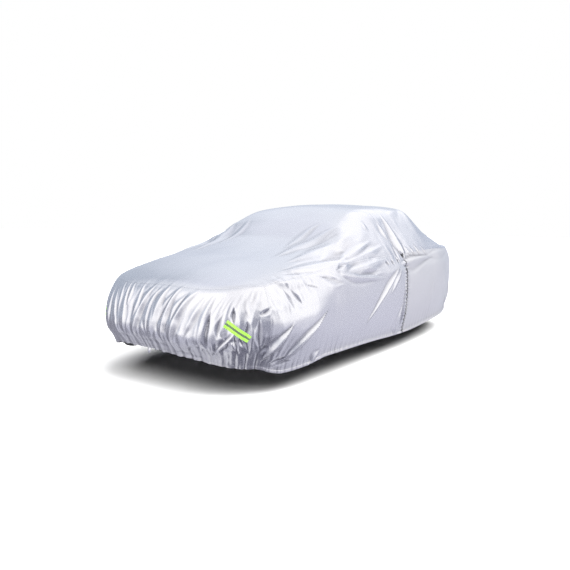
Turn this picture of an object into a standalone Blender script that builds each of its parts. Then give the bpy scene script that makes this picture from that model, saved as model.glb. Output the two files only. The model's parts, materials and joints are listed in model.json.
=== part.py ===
"""Fitted cloth car cover, standing in its draped shape with nothing inside.

The cover is cut as a canopy over bonnet, windows, roof and boot, and skirts sewn round it at the
shoulder line. The left skirt is parted by a zip. Metres, +Z up, the nose points along -Y and the
left side along +X. The origin is on the underside of the roof, where the covered roof carries it.
"""

import math

import bmesh
import bpy
import numpy as np
from mathutils import Vector
from mathutils.bvhtree import BVHTree

# ---------------------------------------------------------------- driving sizes, in metres
CLOTH = 0.002            # thickness of the cloth
SEAM_GAP = 0.0003        # gap between two pieces that are sewn together
SEAM_SPARE = 0.00002     # added to each cut edge's half of that gap
SHOULDER_HALF = 0.842    # half width at the shoulder seam
NOSE = 2.20              # shoulder seam in front of the middle
TAIL = 2.18              # shoulder seam behind the middle
PINCH_SIDE = 0.140       # share by which the width draws in at the corners
PINCH_END = 0.144        # share by which the length draws in at the corners
SQUARENESS = 4.8         # power of the plan curve, high is square
ROOF_SOFTNESS = 0.035    # how softly the top rolls over into the flanks
LEAST_FLANK = 0.05       # narrowest flank beside the flat top

# Shape of the canopy at stations along its length.
# station, height on the centre line, half width of the flat top, height at its edge, shoulder height
SECTION_COLUMNS = ("station", "crown", "half", "edge", "shoulder")
SECTIONS = np.array([
    (-2.30, 0.740, 0.60, 0.700, 0.640),
    (-2.10, 0.840, 0.66, 0.800, 0.740),
    (-1.70, 0.942, 0.68, 0.912, 0.834),
    (-1.20, 1.043, 0.68, 1.013, 0.898),
    (-0.90, 1.128, 0.66, 1.088, 0.920),
    (-0.60, 1.294, 0.62, 1.244, 0.939),
    (-0.25, 1.416, 0.58, 1.366, 0.950),
    (0.10, 1.447, 0.56, 1.397, 0.960),
    (0.50, 1.460, 0.55, 1.410, 0.970),
    (0.90, 1.460, 0.55, 1.410, 0.981),
    (1.30, 1.284, 0.57, 1.234, 0.984),
    (1.65, 1.098, 0.62, 1.068, 0.982),
    (1.95, 1.042, 0.66, 1.022, 0.980),
    (2.20, 1.010, 0.66, 0.990, 0.935),
])

# How far the skirts stand out from the shoulder seam, from seam (0) to hem (1).
SKIRT_COLUMNS = ("drop", "side", "front", "rear")
SKIRT_PROFILE = np.array([
    (0.00, 0.000, 0.000, 0.000),
    (0.12, 0.028, 0.034, 0.030),
    (0.30, 0.050, 0.060, 0.050),
    (0.55, 0.058, 0.086, 0.055),
    (0.67, 0.054, 0.094, 0.052),
    (0.74, 0.047, 0.088, 0.045),
    (0.86, 0.029, 0.050, 0.028),
    (1.00, 0.005, 0.004, 0.000),
])

# Height of the hem above the ground along the sides, and across the front and rear.
SIDE_HEM = np.array([
    (-1.95, 0.215), (-1.72, 0.160), (-1.45, 0.178), (-1.20, 0.208), (-0.70, 0.205),
    (0.35, 0.176), (1.20, 0.205), (1.90, 0.235),
])
FRONT_HEM = np.array([(-0.75, 0.330), (-0.20, 0.325), (0.40, 0.290), (0.75, 0.250)])
REAR_HEM = np.array([(-0.75, 0.240), (0.00, 0.260), (0.75, 0.240)])

# Main folds, each measured in the flat view that shows it: first, middle and last point, half width,
# rise. A fold has a soft crest, with a shallow trough on each side.
FOLD_REACH = 2.6         # it ends this many half widths from its crest
FOLD_FALL = 0.75         # how fast it falls away from its crest
SIDE_ZONE = (0.52, 0.62)     # side folds set in between these distances from the centre line
TOP_ZONE = (0.84, 0.90)      # top folds, between these heights
FRONT_ZONE = (1.82, 1.98)    # front pleats, between these distances ahead of the middle
REAR_ZONE = (1.80, 1.96)     # rear pleats, between these distances behind it
FOLD_COLUMNS = ("u0", "v0", "u1", "v1", "u2", "v2", "half", "rise")
# Side view, u is the station and v the height.
SIDE_FOLDS = np.array([
    (-1.64, 0.56, -1.80, 0.41, -1.93, 0.27, 0.060, 0.038),   # wide crest behind the front corner
    (-1.17, 0.64, -1.46, 0.44, -1.75, 0.25, 0.055, 0.034),   # its neighbour, further back
    (-0.05, 0.78, -0.34, 0.57, -0.67, 0.36, 0.055, 0.020),   # long thin crest on the door
    (0.14, 0.80, 0.11, 0.52, 0.10, 0.18, 0.060, 0.014),      # slack beside the zip
    (-1.10, 0.90, -0.64, 1.00, -0.20, 1.08, 0.055, 0.020),   # fan behind the mirror, upper
    (-0.95, 0.83, -0.52, 0.88, -0.10, 0.93, 0.055, 0.022),   # fan behind the mirror, lower
    (0.23, 0.87, 0.60, 0.895, 0.95, 0.925, 0.050, 0.014),    # ridge along the rear shoulder
    (0.25, 1.38, 0.24, 1.14, 0.30, 0.93, 0.060, 0.018),      # ridge down the rear pillar
])
# Top view, u is the distance to the left and v the station.
TOP_FOLDS = np.array([
    (0.38, -1.22, 0.37, -0.90, 0.47, -0.62, 0.055, 0.018),   # fan up the windscreen pillar, upper
    (0.46, -1.42, 0.48, -1.02, 0.62, -0.66, 0.055, 0.022),   # fan up the windscreen pillar, middle
    (0.62, -1.46, 0.69, -1.03, 0.665, -0.58, 0.055, 0.024),  # fan up the windscreen pillar, lower
    (0.67, -1.65, 0.77, -1.28, 0.81, -1.02, 0.050, 0.014),   # along the wing to the mirror
])
# Front view, one row for each pleat: distance to the left at the seam, half way and at the hem.
PLEAT_COLUMNS = ("top", "middle", "low", "half", "rise")
FRONT_PLEATS = np.array([
    (-0.58, -0.68, -0.62, 0.040, 0.016),
    (-0.44, -0.50, -0.48, 0.040, 0.018),
    (-0.31, -0.38, -0.35, 0.038, 0.018),
    (-0.18, -0.26, -0.23, 0.040, 0.018),
    (-0.02, -0.14, -0.11, 0.042, 0.020),
    (0.11, 0.00, 0.02, 0.040, 0.018),
    (0.22, 0.11, 0.14, 0.042, 0.020),
    (0.36, 0.22, 0.26, 0.044, 0.020),
    (0.50, 0.35, 0.37, 0.042, 0.018),
    (0.56, 0.47, 0.45, 0.040, 0.024),
    (0.65, 0.57, 0.56, 0.040, 0.018),
    (0.71, 0.67, 0.66, 0.036, 0.016),
])
PLEAT_HEIGHTS = (0.80, 0.55, 0.27)
# Rear view, the same.
REAR_PLEATS = np.array([
    (-0.66, -0.68, -0.66, 0.042, 0.012),
    (-0.48, -0.52, -0.50, 0.045, 0.013),
    (-0.30, -0.31, -0.33, 0.045, 0.012),
    (-0.12, -0.15, -0.14, 0.045, 0.014),
    (0.07, 0.05, 0.08, 0.045, 0.012),
    (0.24, 0.26, 0.25, 0.045, 0.013),
    (0.43, 0.45, 0.43, 0.045, 0.012),
    (0.63, 0.66, 0.64, 0.042, 0.013),
])
REAR_HEIGHTS = (0.93, 0.55, 0.22)

# Pocket over each door mirror: distance to the side, station, height, radius, how far it stands out
# and how fast it falls away.
MIRROR = dict(side=0.86, station=-1.00, height=0.93, radius=0.13, rise=0.055, fall=1.4)
FAR_SIDE_SHIFT = 0.06    # the right side's folds lie this much further back
FAR_SIDE_SHARE = 0.90    # and are this much as high

# Mesh stations: across half the canopy, along it, the pitch of the columns round the ends, and the
# rows down a skirt.
ACROSS = (0.15, 0.30, 0.44, 0.56, 0.65, 0.73, 0.80, 0.87, 0.94, 1.00)
FRONT_PITCH = 0.034
REAR_PITCH = 0.065
ROWS = (0.0, 0.10, 0.24, 0.40, 0.56, 0.71, 0.86, 1.0)
ALONG = (
    (-1.00, 12, -0.60),
    (-0.60, 12, -0.10),
    (-0.10, 4, 0.10),
    (0.22, 16, 1.00),
)

# The zip in the left skirt.
ZIP_STATION = 0.27
ZIP_HALF = 0.014         # half width of its two tapes
CHAIN_HALF = 0.003       # half width of the teeth
CHAIN_RISE = 0.002       # how far the teeth stand up
SLIDER_DROP = 0.18       # slider's middle below the shoulder seam
SLIDER_SIZE = (0.0065, 0.013, 0.026)
PULL_SIZE = (0.0020, 0.009, 0.042)
PULL_LAP = 0.008         # how far the pull lies over the slider
TEETH_MARGIN = 0.001     # on each side of the teeth
SLIDER_EDGE = 0.0015     # rounding of the slider's edges
PULL_EDGE = 0.0006

# Reflective strip at each front corner: its two ends on the front skirt, and its size.
STRIP_FROM = (0.605, -2.170, 0.570)
STRIP_TO = (0.710, -2.040, 0.455)
STRIP_FACING = (0.62, -0.785, 0.0)
STRIP_WIDTH = 0.066
STRIP_THICK = 0.001
STRIP_CELLS = (18, 5)
STRIP_CLEAR = 1.5 * SEAM_GAP

# Pointed pull tab under the front hem.
TAB_CENTRE = -0.09
TAB_WIDTH = 0.030
TAB_LENGTH = 0.038


# ---------------------------------------------------------------- curves and the cover's plain shape
def curve(x, xs, ys):
    """A smooth line through the points (xs, ys) that doesn't overshoot them."""
    x = np.asarray(x, float)
    step = np.diff(xs)
    slope = np.diff(ys) / step
    tangent = np.zeros(len(xs))
    product = slope[:-1] * slope[1:]
    total = slope[:-1] + slope[1:]
    safe = np.where(product > 0, total, 1.0)
    tangent[1:-1] = np.where(product > 0, 2 * slope[:-1] * slope[1:] / safe, 0.0)
    tangent[0], tangent[-1] = slope[0], slope[-1]
    k = np.clip(np.searchsorted(xs, x) - 1, 0, len(xs) - 2)
    t = np.clip((x - xs[k]) / step[k], 0.0, 1.0)
    rise = ys[k] * (1 + 2 * t) * (1 - t) ** 2 + ys[k + 1] * t * t * (3 - 2 * t)
    lean = tangent[k] * t * (1 - t) ** 2 + tangent[k + 1] * t * t * (t - 1)
    return rise + lean * step[k]


def read(table, columns, name, where):
    """A named column of a table at places along its first column."""
    return curve(where, table[:, 0], table[:, columns.index(name)])


def plan_point(across, along):
    """Plan of the canopy: across and along run from -1 to 1, its square corners drawn in."""
    x = across * SHOULDER_HALF * (1 - PINCH_SIDE * np.abs(along) ** SQUARENESS)
    reach = np.where(along < 0, NOSE, TAIL)
    y = along * reach * (1 - PINCH_END * np.abs(across) ** SQUARENESS)
    return x, y


def canopy_point(across, along):
    """A point of the unfolded canopy."""
    x, y = plan_point(np.asarray(across, float), np.asarray(along, float))
    crown, half, edge, shoulder = (read(SECTIONS, SECTION_COLUMNS, c, y) for c in SECTION_COLUMNS[1:])
    share = np.clip(np.abs(y) / np.where(y < 0, NOSE, TAIL), 0, 1)
    rim = SHOULDER_HALF * (1 - PINCH_SIDE * share ** SQUARENESS)
    lid = crown - (crown - edge) * (x / half) ** 2
    flank = shoulder + (edge - shoulder) * (rim - np.abs(x)) / np.maximum(rim - half, LEAST_FLANK)
    z = -ROOF_SOFTNESS * np.logaddexp(-lid / ROOF_SOFTNESS, -flank / ROOF_SOFTNESS)
    return np.stack([x, y, z], -1)


def skirt_rows(rim, rows):
    """Rows of points from the shoulder seam down to the hem, below a closed loop of rim points."""
    run = np.roll(rim, -1, 0)[:, :2] - np.roll(rim, 1, 0)[:, :2]
    run /= np.linalg.norm(run, axis=1)[:, None]
    out = np.stack([run[:, 1], -run[:, 0]], -1)
    front = np.clip(-out[:, 1], 0, 1) ** 2
    rear = np.clip(out[:, 1], 0, 1) ** 2
    side = 1 - front - rear
    hem = side * curve(rim[:, 1], SIDE_HEM[:, 0], SIDE_HEM[:, 1])
    hem += front * curve(rim[:, 0], FRONT_HEM[:, 0], FRONT_HEM[:, 1])
    hem += rear * curve(rim[:, 0], REAR_HEM[:, 0], REAR_HEM[:, 1])
    made = []
    for drop in rows:
        stand = sum(
            share * read(SKIRT_PROFILE, SKIRT_COLUMNS, name, drop)
            for share, name in ((side, "side"), (front, "front"), (rear, "rear"))
        )
        height = rim[:, 2] * (1 - drop) + hem * drop
        made.append(np.column_stack([rim[:, :2] + out * stand[:, None], height]))
    return np.array(made)


# ---------------------------------------------------------------- folds
def bent_line(row, steps=12):
    """Points along the smooth bend through a fold's first, middle and last point."""
    first, middle, last = row[0:2], row[2:4], row[4:6]  # the columns u0 to v2
    handle = 2 * middle - (first + last) / 2
    t = np.linspace(0, 1, steps + 1)[:, None]
    return (1 - t) ** 2 * first + 2 * t * (1 - t) * handle + t * t * last


def fold_rise(points, row, fade_in=0.25, fade_out=0.25):
    """Height of one fold at points of its flat view: a soft crest with a trough on each side."""
    half = row[FOLD_COLUMNS.index("half")]
    rise = row[FOLD_COLUMNS.index("rise")]
    line = bent_line(row)
    reach = FOLD_REACH * half
    near = np.all((points > line.min(0) - reach) & (points < line.max(0) + reach), axis=1)
    made = np.zeros(len(points))
    if not near.any():
        return made
    p = points[near][:, None, :]
    a, b = line[None, :-1], line[None, 1:]
    run = b - a
    t = np.clip(((p - a) * run).sum(-1) / (run ** 2).sum(-1), 0, 1)
    away = np.linalg.norm(p - a - run * t[..., None], axis=-1)
    best = away.argmin(1)
    pick = np.arange(len(best))
    q = away[pick, best] / half
    along = (best + t[pick, best]) / (len(line) - 1)
    start = np.clip(along / max(fade_in, 1e-6), 0, 1)
    end = np.clip((1 - along) / max(fade_out, 1e-6), 0, 1)
    fade = start * start * (3 - 2 * start) * end * end * (3 - 2 * end)
    fall = FOLD_FALL * q * q
    made[near] = rise * fade * (1 - fall) * np.exp(-fall)
    return made


def pleat_rows(table, heights):
    """Fold rows for a table of pleats that hang between three heights."""
    rows = np.zeros((len(table), len(FOLD_COLUMNS)))
    for k, height in enumerate(heights):
        rows[:, FOLD_COLUMNS.index(f"u{k}")] = table[:, k]
        rows[:, FOLD_COLUMNS.index(f"v{k}")] = height
    for name in ("half", "rise"):
        rows[:, FOLD_COLUMNS.index(name)] = table[:, PLEAT_COLUMNS.index(name)]
    return rows


def smooth_step(value, low, high):
    """0 below low, 1 above high and smooth between them."""
    t = np.clip((value - low) / (high - low), 0, 1)
    return t * t * (3 - 2 * t)


def folds_at(points):
    """How far the folds lift the cloth off its plain shape at each point."""
    x, y, z = points.T
    lift = np.zeros(len(points))
    side_view = points[:, 1:3]
    steep = smooth_step(np.abs(x), *SIDE_ZONE)
    shifted = side_view - (FAR_SIDE_SHIFT, 0)
    for row in SIDE_FOLDS:
        lift += steep * (x > 0) * fold_rise(side_view, row)
        lift += steep * (x < 0) * fold_rise(shifted, row) * FAR_SIDE_SHARE
    top = smooth_step(z, *TOP_ZONE)
    for row in TOP_FOLDS:
        lift += top * fold_rise(points[:, :2], row)
        lift += top * fold_rise(points[:, :2] * (-1, 1) - (0, FAR_SIDE_SHIFT), row) * FAR_SIDE_SHARE
    front = smooth_step(-y, *FRONT_ZONE)
    for row in pleat_rows(FRONT_PLEATS, PLEAT_HEIGHTS):
        lift += front * fold_rise(points[:, ::2], row, fade_in=0.2, fade_out=0.0)
    rear = smooth_step(y, *REAR_ZONE)
    for row in pleat_rows(REAR_PLEATS, REAR_HEIGHTS):
        lift += rear * fold_rise(points[:, ::2], row, fade_in=0.3, fade_out=0.0)
    for hand in (-1, 1):
        centre = np.array([hand * MIRROR["side"], MIRROR["station"], MIRROR["height"]])
        away = np.linalg.norm(points - centre, axis=1) / MIRROR["radius"]
        lift += MIRROR["rise"] * np.exp(-away ** 2 * MIRROR["fall"])
    return lift


# ---------------------------------------------------------------- the sewn pieces as one net of points
def station_to_along(station):
    """The along value at which the shoulder seam passes a station."""
    return station / ((NOSE if station < 0 else TAIL) * (1 - PINCH_END))


def along_stations():
    """Mesh stations along the cover, with the zip's tapes and teeth between their own stations."""
    made = []
    for start, cells, end in ALONG:
        made += list(np.linspace(start, end, cells + 1))
    offsets = (-ZIP_HALF, -CHAIN_HALF, CHAIN_HALF, ZIP_HALF)
    made += [station_to_along(ZIP_STATION + offset) for offset in offsets]
    return np.array(sorted(set(np.round(made, 6))))


def strip_faces(near, far, far_first=False):
    """Triangles between two chains of points that run side by side."""
    faces = []
    i = j = 0
    while i < len(near) - 1 or j < len(far) - 1:
        step_near = (i + 0.5) / (len(near) - 1) if i < len(near) - 1 else 2.0
        step_far = (j + 0.5) / (len(far) - 1) if j < len(far) - 1 else 2.0
        if step_near < step_far or (step_near == step_far and not far_first):
            faces.append((near[i], near[i + 1], far[j]))
            i += 1
        else:
            faces.append((near[i], far[j + 1], far[j]))
            j += 1
    return faces


class Net:
    """The whole cover as one net of points, with the triangles of each sewn piece."""

    def __init__(self):
        self.along = along_stations()
        self.across = np.array([-a for a in reversed(ACROSS)] + [0.0] + list(ACROSS))
        grid_a, grid_b = np.meshgrid(self.across, self.along, indexing="ij")
        canopy = canopy_point(grid_a, grid_b)
        self.points = [tuple(p) for p in canopy.reshape(-1, 3)]
        self.rows = len(self.across) - 1
        self.cols = len(self.along) - 1
        self.faces = {}

    def at(self, i, j):
        """Number of the canopy's point at row i and column j."""
        return i * (self.cols + 1) + j

    def end_chain(self, j, pitch):
        """Point numbers across one end of the canopy, a list for each cell."""
        made = []
        for i in range(self.rows):
            start, end = self.across[i], self.across[i + 1]
            parts = max(1, round((end - start) * SHOULDER_HALF / pitch))
            cell = [self.at(i, j)]
            for part in range(1, parts):
                across = start + (end - start) * part / parts
                self.points.append(tuple(canopy_point(across, self.along[j])))
                cell.append(len(self.points) - 1)
            made.append(cell + [self.at(i + 1, j)])
        return made

    def sew_canopy(self):
        """Triangles of the canopy; returns the two end chains that the skirts hang from."""
        front = self.end_chain(0, FRONT_PITCH)
        rear = self.end_chain(self.cols, REAR_PITCH)
        faces = self.faces["canopy"] = []
        for i in range(self.rows):
            for j in range(self.cols):
                low = front[i] if j == 0 else [self.at(i, j), self.at(i + 1, j)]
                last = j == self.cols - 1
                high = rear[i] if last else [self.at(i, j + 1), self.at(i + 1, j + 1)]
                faces += strip_faces(low, high, far_first=i < self.rows // 2)
        return front, rear

    def sew_skirts(self, front, rear):
        """Hangs the skirts from the seam and cuts them at the corners and at the zip."""
        loop, owner = [], []
        for cell in front:
            loop += cell[:-1]
            owner += ["front_skirt"] * (len(cell) - 1)
        tapes = [station_to_along(ZIP_STATION + side * ZIP_HALF) for side in (-1, 1)]
        for j in range(self.cols):
            middle = (self.along[j] + self.along[j + 1]) / 2
            loop.append(self.at(self.rows, j))
            behind = "left_rear_skirt" if middle > tapes[1] else "zip_tape"
            owner.append("left_skirt" if middle < tapes[0] else behind)
        for cell in reversed(rear):
            loop += cell[:0:-1]
            owner += ["rear_skirt"] * (len(cell) - 1)
        for j in range(self.cols, 0, -1):
            loop.append(self.at(0, j))
            owner.append("right_skirt")
        rim = np.array([self.points[k] for k in loop])
        numbers = [list(loop)]
        for row in skirt_rows(rim, ROWS)[1:]:
            numbers.append(list(range(len(self.points), len(self.points) + len(loop))))
            self.points += [tuple(p) for p in row]
        for k, piece in enumerate(owner):
            nxt = (k + 1) % len(loop)
            for upper, lower in zip(numbers[:-1], numbers[1:]):
                low, high = (lower[k], lower[nxt]), (upper[k], upper[nxt])
                faces = strip_faces(low, high, far_first=piece != "right_skirt")
                self.faces.setdefault(piece, []).extend(faces)


def build_net():
    """Points of the whole cover, and the triangles of each sewn piece, seen from outside."""
    net = Net()
    front, rear = net.sew_canopy()
    net.sew_skirts(front, rear)
    return np.array(net.points), net.faces


def point_normals(points, triangles):
    """Outward direction at each point, from the triangles round it."""
    corner = points[triangles]
    face = np.cross(corner[:, 1] - corner[:, 0], corner[:, 2] - corner[:, 0])
    made = np.zeros_like(points)
    for c in range(3):
        np.add.at(made, triangles[:, c], face)
    size = np.linalg.norm(made, axis=1)[:, None]
    return made / np.maximum(size, 1e-12)


# ---------------------------------------------------------------- turning the net into solids
def thick_piece(points, normals, triangles, thickness=CLOTH, bump=None):
    """Closed sheet of one sewn piece: outer skin, inner skin and the cut edges between them.

    The cut edges stand back by half the seam gap, so that sewn pieces don't touch.
    """
    triangles = np.asarray(triangles)
    edge_use = {}
    for tri in triangles:
        for a, b in ((tri[0], tri[1]), (tri[1], tri[2]), (tri[2], tri[0])):
            edge_use[(a, b)] = tri
    border = [edge for edge in edge_use if (edge[1], edge[0]) not in edge_use]
    back = {}
    for a, b in border:
        tri = edge_use[(a, b)]
        p = points[tri]
        face = np.cross(p[1] - p[0], p[2] - p[0])
        inward = np.cross(face, points[b] - points[a])
        inward /= np.linalg.norm(inward)
        back.setdefault(a, []).append(inward)
        back.setdefault(b, []).append(inward)
    moved = points.copy()
    for k, ways in back.items():
        way = sum(ways)
        way = way / max(np.dot(way, ways[0]), 0.3)
        moved[k] = points[k] + way * (SEAM_GAP / 2 + SEAM_SPARE)
    used = np.unique(triangles)
    place = {int(k): i for i, k in enumerate(used)}
    outer = moved[used].copy()
    if bump is not None:
        outer += normals[used] * bump[used][:, None]
    inner = moved[used] - normals[used] * thickness
    count = len(used)
    faces = [tuple(place[int(k)] for k in tri) for tri in triangles]
    faces += [tuple(place[int(k)] + count for k in tri[::-1]) for tri in triangles]
    for a, b in border:
        i, j = place[int(a)], place[int(b)]
        faces += [(j, i, i + count), (j, i + count, j + count)]
    return np.vstack([outer, inner]), faces


def new_object(name, points, faces, look):
    """Object of the given name, moved so that the roof's underside is at the origin."""
    mesh = bpy.data.meshes.new(name)
    roof = canopy_point(0.0, 0.0)[2] - CLOTH
    mesh.from_pydata([tuple(p) for p in np.asarray(points) - (0, 0, roof)], [], faces)
    mesh.validate()
    mesh.materials.append(look)
    mesh.shade_smooth()
    mesh.set_sharp_from_angle(angle=math.radians(40))
    made = bpy.data.objects.new(name, mesh)
    bpy.context.scene.collection.objects.link(made)
    return made


def new_look(name, colour, roughness, metallic=0.0):
    """A plain material for one of the pieces."""
    look = bpy.data.materials.new(name)
    look.use_nodes = True
    shader = look.node_tree.nodes["Principled BSDF"]
    shader.inputs["Base Color"].default_value = (*colour, 1)
    shader.inputs["Roughness"].default_value = roughness
    shader.inputs["Metallic"].default_value = metallic
    look.diffuse_color = (*colour, 1)
    return look


def box_mesh(centre, axes, size):
    """Points and faces of a box with its own axes."""
    points = []
    for sx in (-1, 1):
        for sy in (-1, 1):
            for sz in (-1, 1):
                step = [s * d / 2 for s, d in zip((sx, sy, sz), size)]
                points.append(centre + sum(a * s for a, s in zip(axes, step)))
    quads = [(0, 1, 3, 2), (4, 6, 7, 5), (0, 4, 5, 1), (2, 3, 7, 6), (0, 2, 6, 4), (1, 5, 7, 3)]
    return np.array([tuple(p) for p in points]), quads


def bevelled(made, width):
    """Rounds the edges of a small fitting."""
    bevel = made.modifiers.new("soft edges", "BEVEL")
    bevel.width = width
    bevel.segments = 2
    return made


def cloth_tree(points, triangles):
    """Search tree over the outer skin of the cloth."""
    return BVHTree.FromPolygons([Vector(p) for p in points], [tuple(map(int, t)) for t in triangles])


def seated_on(tree, point, way):
    """The cloth's surface found from outside along a direction, and its normal there."""
    hit, normal, _, _ = tree.ray_cast(Vector(point) + Vector(way) * 0.5, -Vector(way))
    if normal.dot(Vector(way)) < 0:
        normal = -normal
    return np.array(hit), np.array(normal)


def reflective_strip(tree, hand):
    """A strip of tape laid slantwise on a front corner, close over the pleats."""
    mirror = (hand, 1, 1)
    way = np.array(STRIP_FACING) * mirror
    start = np.array(STRIP_FROM) * mirror
    end = np.array(STRIP_TO) * mirror
    run = (end - start) / np.linalg.norm(end - start)
    level = np.cross(way, run)
    level /= np.linalg.norm(level)
    if level[2] < 0:
        level = -level
    cells_u, cells_v = STRIP_CELLS
    under = np.zeros((cells_u + 1, cells_v + 1, 3))
    for i in range(cells_u + 1):
        for j in range(cells_v + 1):
            middle = start + (end - start) * i / cells_u
            spot = middle + level * (j / cells_v - 0.5) * STRIP_WIDTH
            under[i, j], _ = seated_on(tree, spot, way)
    return under, way


def lift_clear(tree, under, way, gap):
    """Raises a laid grid until the straight runs between its points clear the cloth."""
    worst = 0.0
    shares = np.linspace(0, 1, 7)
    a, b, c, d = under[:-1, :-1], under[1:, :-1], under[1:, 1:], under[:-1, 1:]
    for u in shares:
        for v in shares:
            if u >= v:
                between = a * (1 - u) + b * (u - v) + c * v
            else:
                between = a * (1 - v) + c * u + d * (v - u)
            for spot in between.reshape(-1, 3):
                hit, _ = seated_on(tree, spot, way)
                worst = max(worst, float(np.dot(hit - spot, way)))
    return under + way * (worst + gap)


def grid_sheet(under, way, thickness):
    """Closed thin sheet over a laid grid of points."""
    rows, cols = under.shape[:2]
    points = np.vstack([(under + way * thickness).reshape(-1, 3), under.reshape(-1, 3)])
    count = rows * cols
    top = []
    for i in range(rows - 1):
        for j in range(cols - 1):
            a, b, c, d = i * cols + j, (i + 1) * cols + j, (i + 1) * cols + j + 1, i * cols + j + 1
            top += [(a, b, c), (a, c, d)]
    corner = points[np.array(top[0])]
    if np.dot(np.cross(corner[1] - corner[0], corner[2] - corner[0]), way) < 0:
        top = [t[::-1] for t in top]
    uses = {(t[k], t[(k + 1) % 3]) for t in top for k in range(3)}
    faces = top + [tuple(k + count for k in t[::-1]) for t in top]
    for a, b in uses:
        if (b, a) not in uses:
            faces += [(b, a, a + count), (b, a + count, b + count)]
    return points, faces


def hem_tab(points):
    """Small pointed tab that hangs under the front hem and follows its edge."""
    low_and_ahead = (points[:, 1] < -FRONT_ZONE[0]) & (points[:, 2] < FRONT_HEM[:, 1].max() + CLOTH)
    front = points[low_and_ahead & (np.abs(points[:, 0] - TAB_CENTRE) < 2 * FRONT_PITCH)]
    front = front[front[:, 0].argsort()]
    half = TAB_WIDTH / 2
    low = -TAB_LENGTH
    outline = [(-half, 0.0), (-half, low + half), (0.0, low), (half, low + half), (half, 0.0)]
    skins = []
    for depth in (0.0, CLOTH):
        for u, drop in outline:
            depth_here = np.interp(TAB_CENTRE + u, front[:, 0], front[:, 1])
            hem_here = np.interp(TAB_CENTRE + u, front[:, 0], front[:, 2])
            skins.append((TAB_CENTRE + u, depth_here + depth, hem_here - SEAM_GAP + drop))
    count = len(outline)
    faces = [tuple(range(count)), tuple(range(2 * count - 1, count - 1, -1))]
    faces += [(k, k + count, (k + 1) % count + count, (k + 1) % count) for k in range(count)]
    return np.array(skins), faces


def outward(mesh_object):
    """Makes every face of a small fitting point out."""
    net = bmesh.new()
    net.from_mesh(mesh_object.data)
    bmesh.ops.recalc_face_normals(net, faces=net.faces)
    net.to_mesh(mesh_object.data)
    net.free()
    return mesh_object


def main():
    for thing in list(bpy.data.objects):
        bpy.data.objects.remove(thing, do_unlink=True)

    silver = new_look("silver_cloth", (0.66, 0.67, 0.71), 0.42, 0.35)
    pale = new_look("pale_silver_cloth", (0.72, 0.72, 0.74), 0.55, 0.25)
    dark = new_look("zip_grey", (0.10, 0.10, 0.11), 0.5)
    metal = new_look("zip_metal", (0.20, 0.20, 0.21), 0.35, 0.8)
    lime = new_look("lime_reflective", (0.52, 0.88, 0.12), 0.35)

    points, pieces = build_net()
    triangles = np.array([t for piece in pieces.values() for t in piece])
    plain = point_normals(points, triangles)
    points = points + plain * folds_at(points)[:, None]
    normals = point_normals(points, triangles)

    teeth = np.abs(points[:, 1] - ZIP_STATION) < CHAIN_HALF + TEETH_MARGIN
    bump = np.where(teeth, CHAIN_RISE, 0.0)
    for name, faces in pieces.items():
        look = {"zip_tape": dark, "left_rear_skirt": pale}.get(name, silver)
        own = bump if name == "zip_tape" else None
        new_object(name, *thick_piece(points, normals, faces, bump=own), look)

    tree = cloth_tree(points, triangles)
    for hand, name in ((1, "left_reflector"), (-1, "right_reflector")):
        under, way = reflective_strip(tree, hand)
        under = lift_clear(tree, under, way, STRIP_CLEAR)
        outward(new_object(name, *grid_sheet(under, way, STRIP_THICK), lime))

    shoulder = canopy_point(1.0, station_to_along(ZIP_STATION))
    spot = (SHOULDER_HALF, ZIP_STATION, shoulder[2] - SLIDER_DROP)
    seat, face_out = seated_on(tree, spot, (1, 0, 0))
    down = np.cross(face_out, (0, 1, 0))
    down *= -np.sign(down[2])
    down /= np.linalg.norm(down)
    beside = np.cross(down, face_out)
    axes = (face_out, beside, down)
    clear = CHAIN_RISE + 2 * SEAM_GAP
    middle = seat + face_out * (clear + SLIDER_SIZE[0] / 2)
    slider = new_object("zip_slider", *box_mesh(middle, axes, SLIDER_SIZE), metal)
    bevelled(outward(slider), SLIDER_EDGE)
    hang = middle + face_out * (SLIDER_SIZE[0] / 2 + SEAM_GAP + PULL_SIZE[0] / 2)
    hang = hang + down * (PULL_SIZE[2] / 2 - PULL_LAP)
    pull = new_object("zip_pull", *box_mesh(hang, axes, PULL_SIZE), metal)
    bevelled(outward(pull), PULL_EDGE)

    outward(new_object("hem_tab", *hem_tab(points), silver))


main()
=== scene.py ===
import functools
import json
import math

import bmesh
import bpy
import numpy as np
from bpy.props import FloatProperty, FloatVectorProperty, IntProperty, PointerProperty
from mathutils import Matrix, Vector
from mathutils.bvhtree import BVHTree

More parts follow.
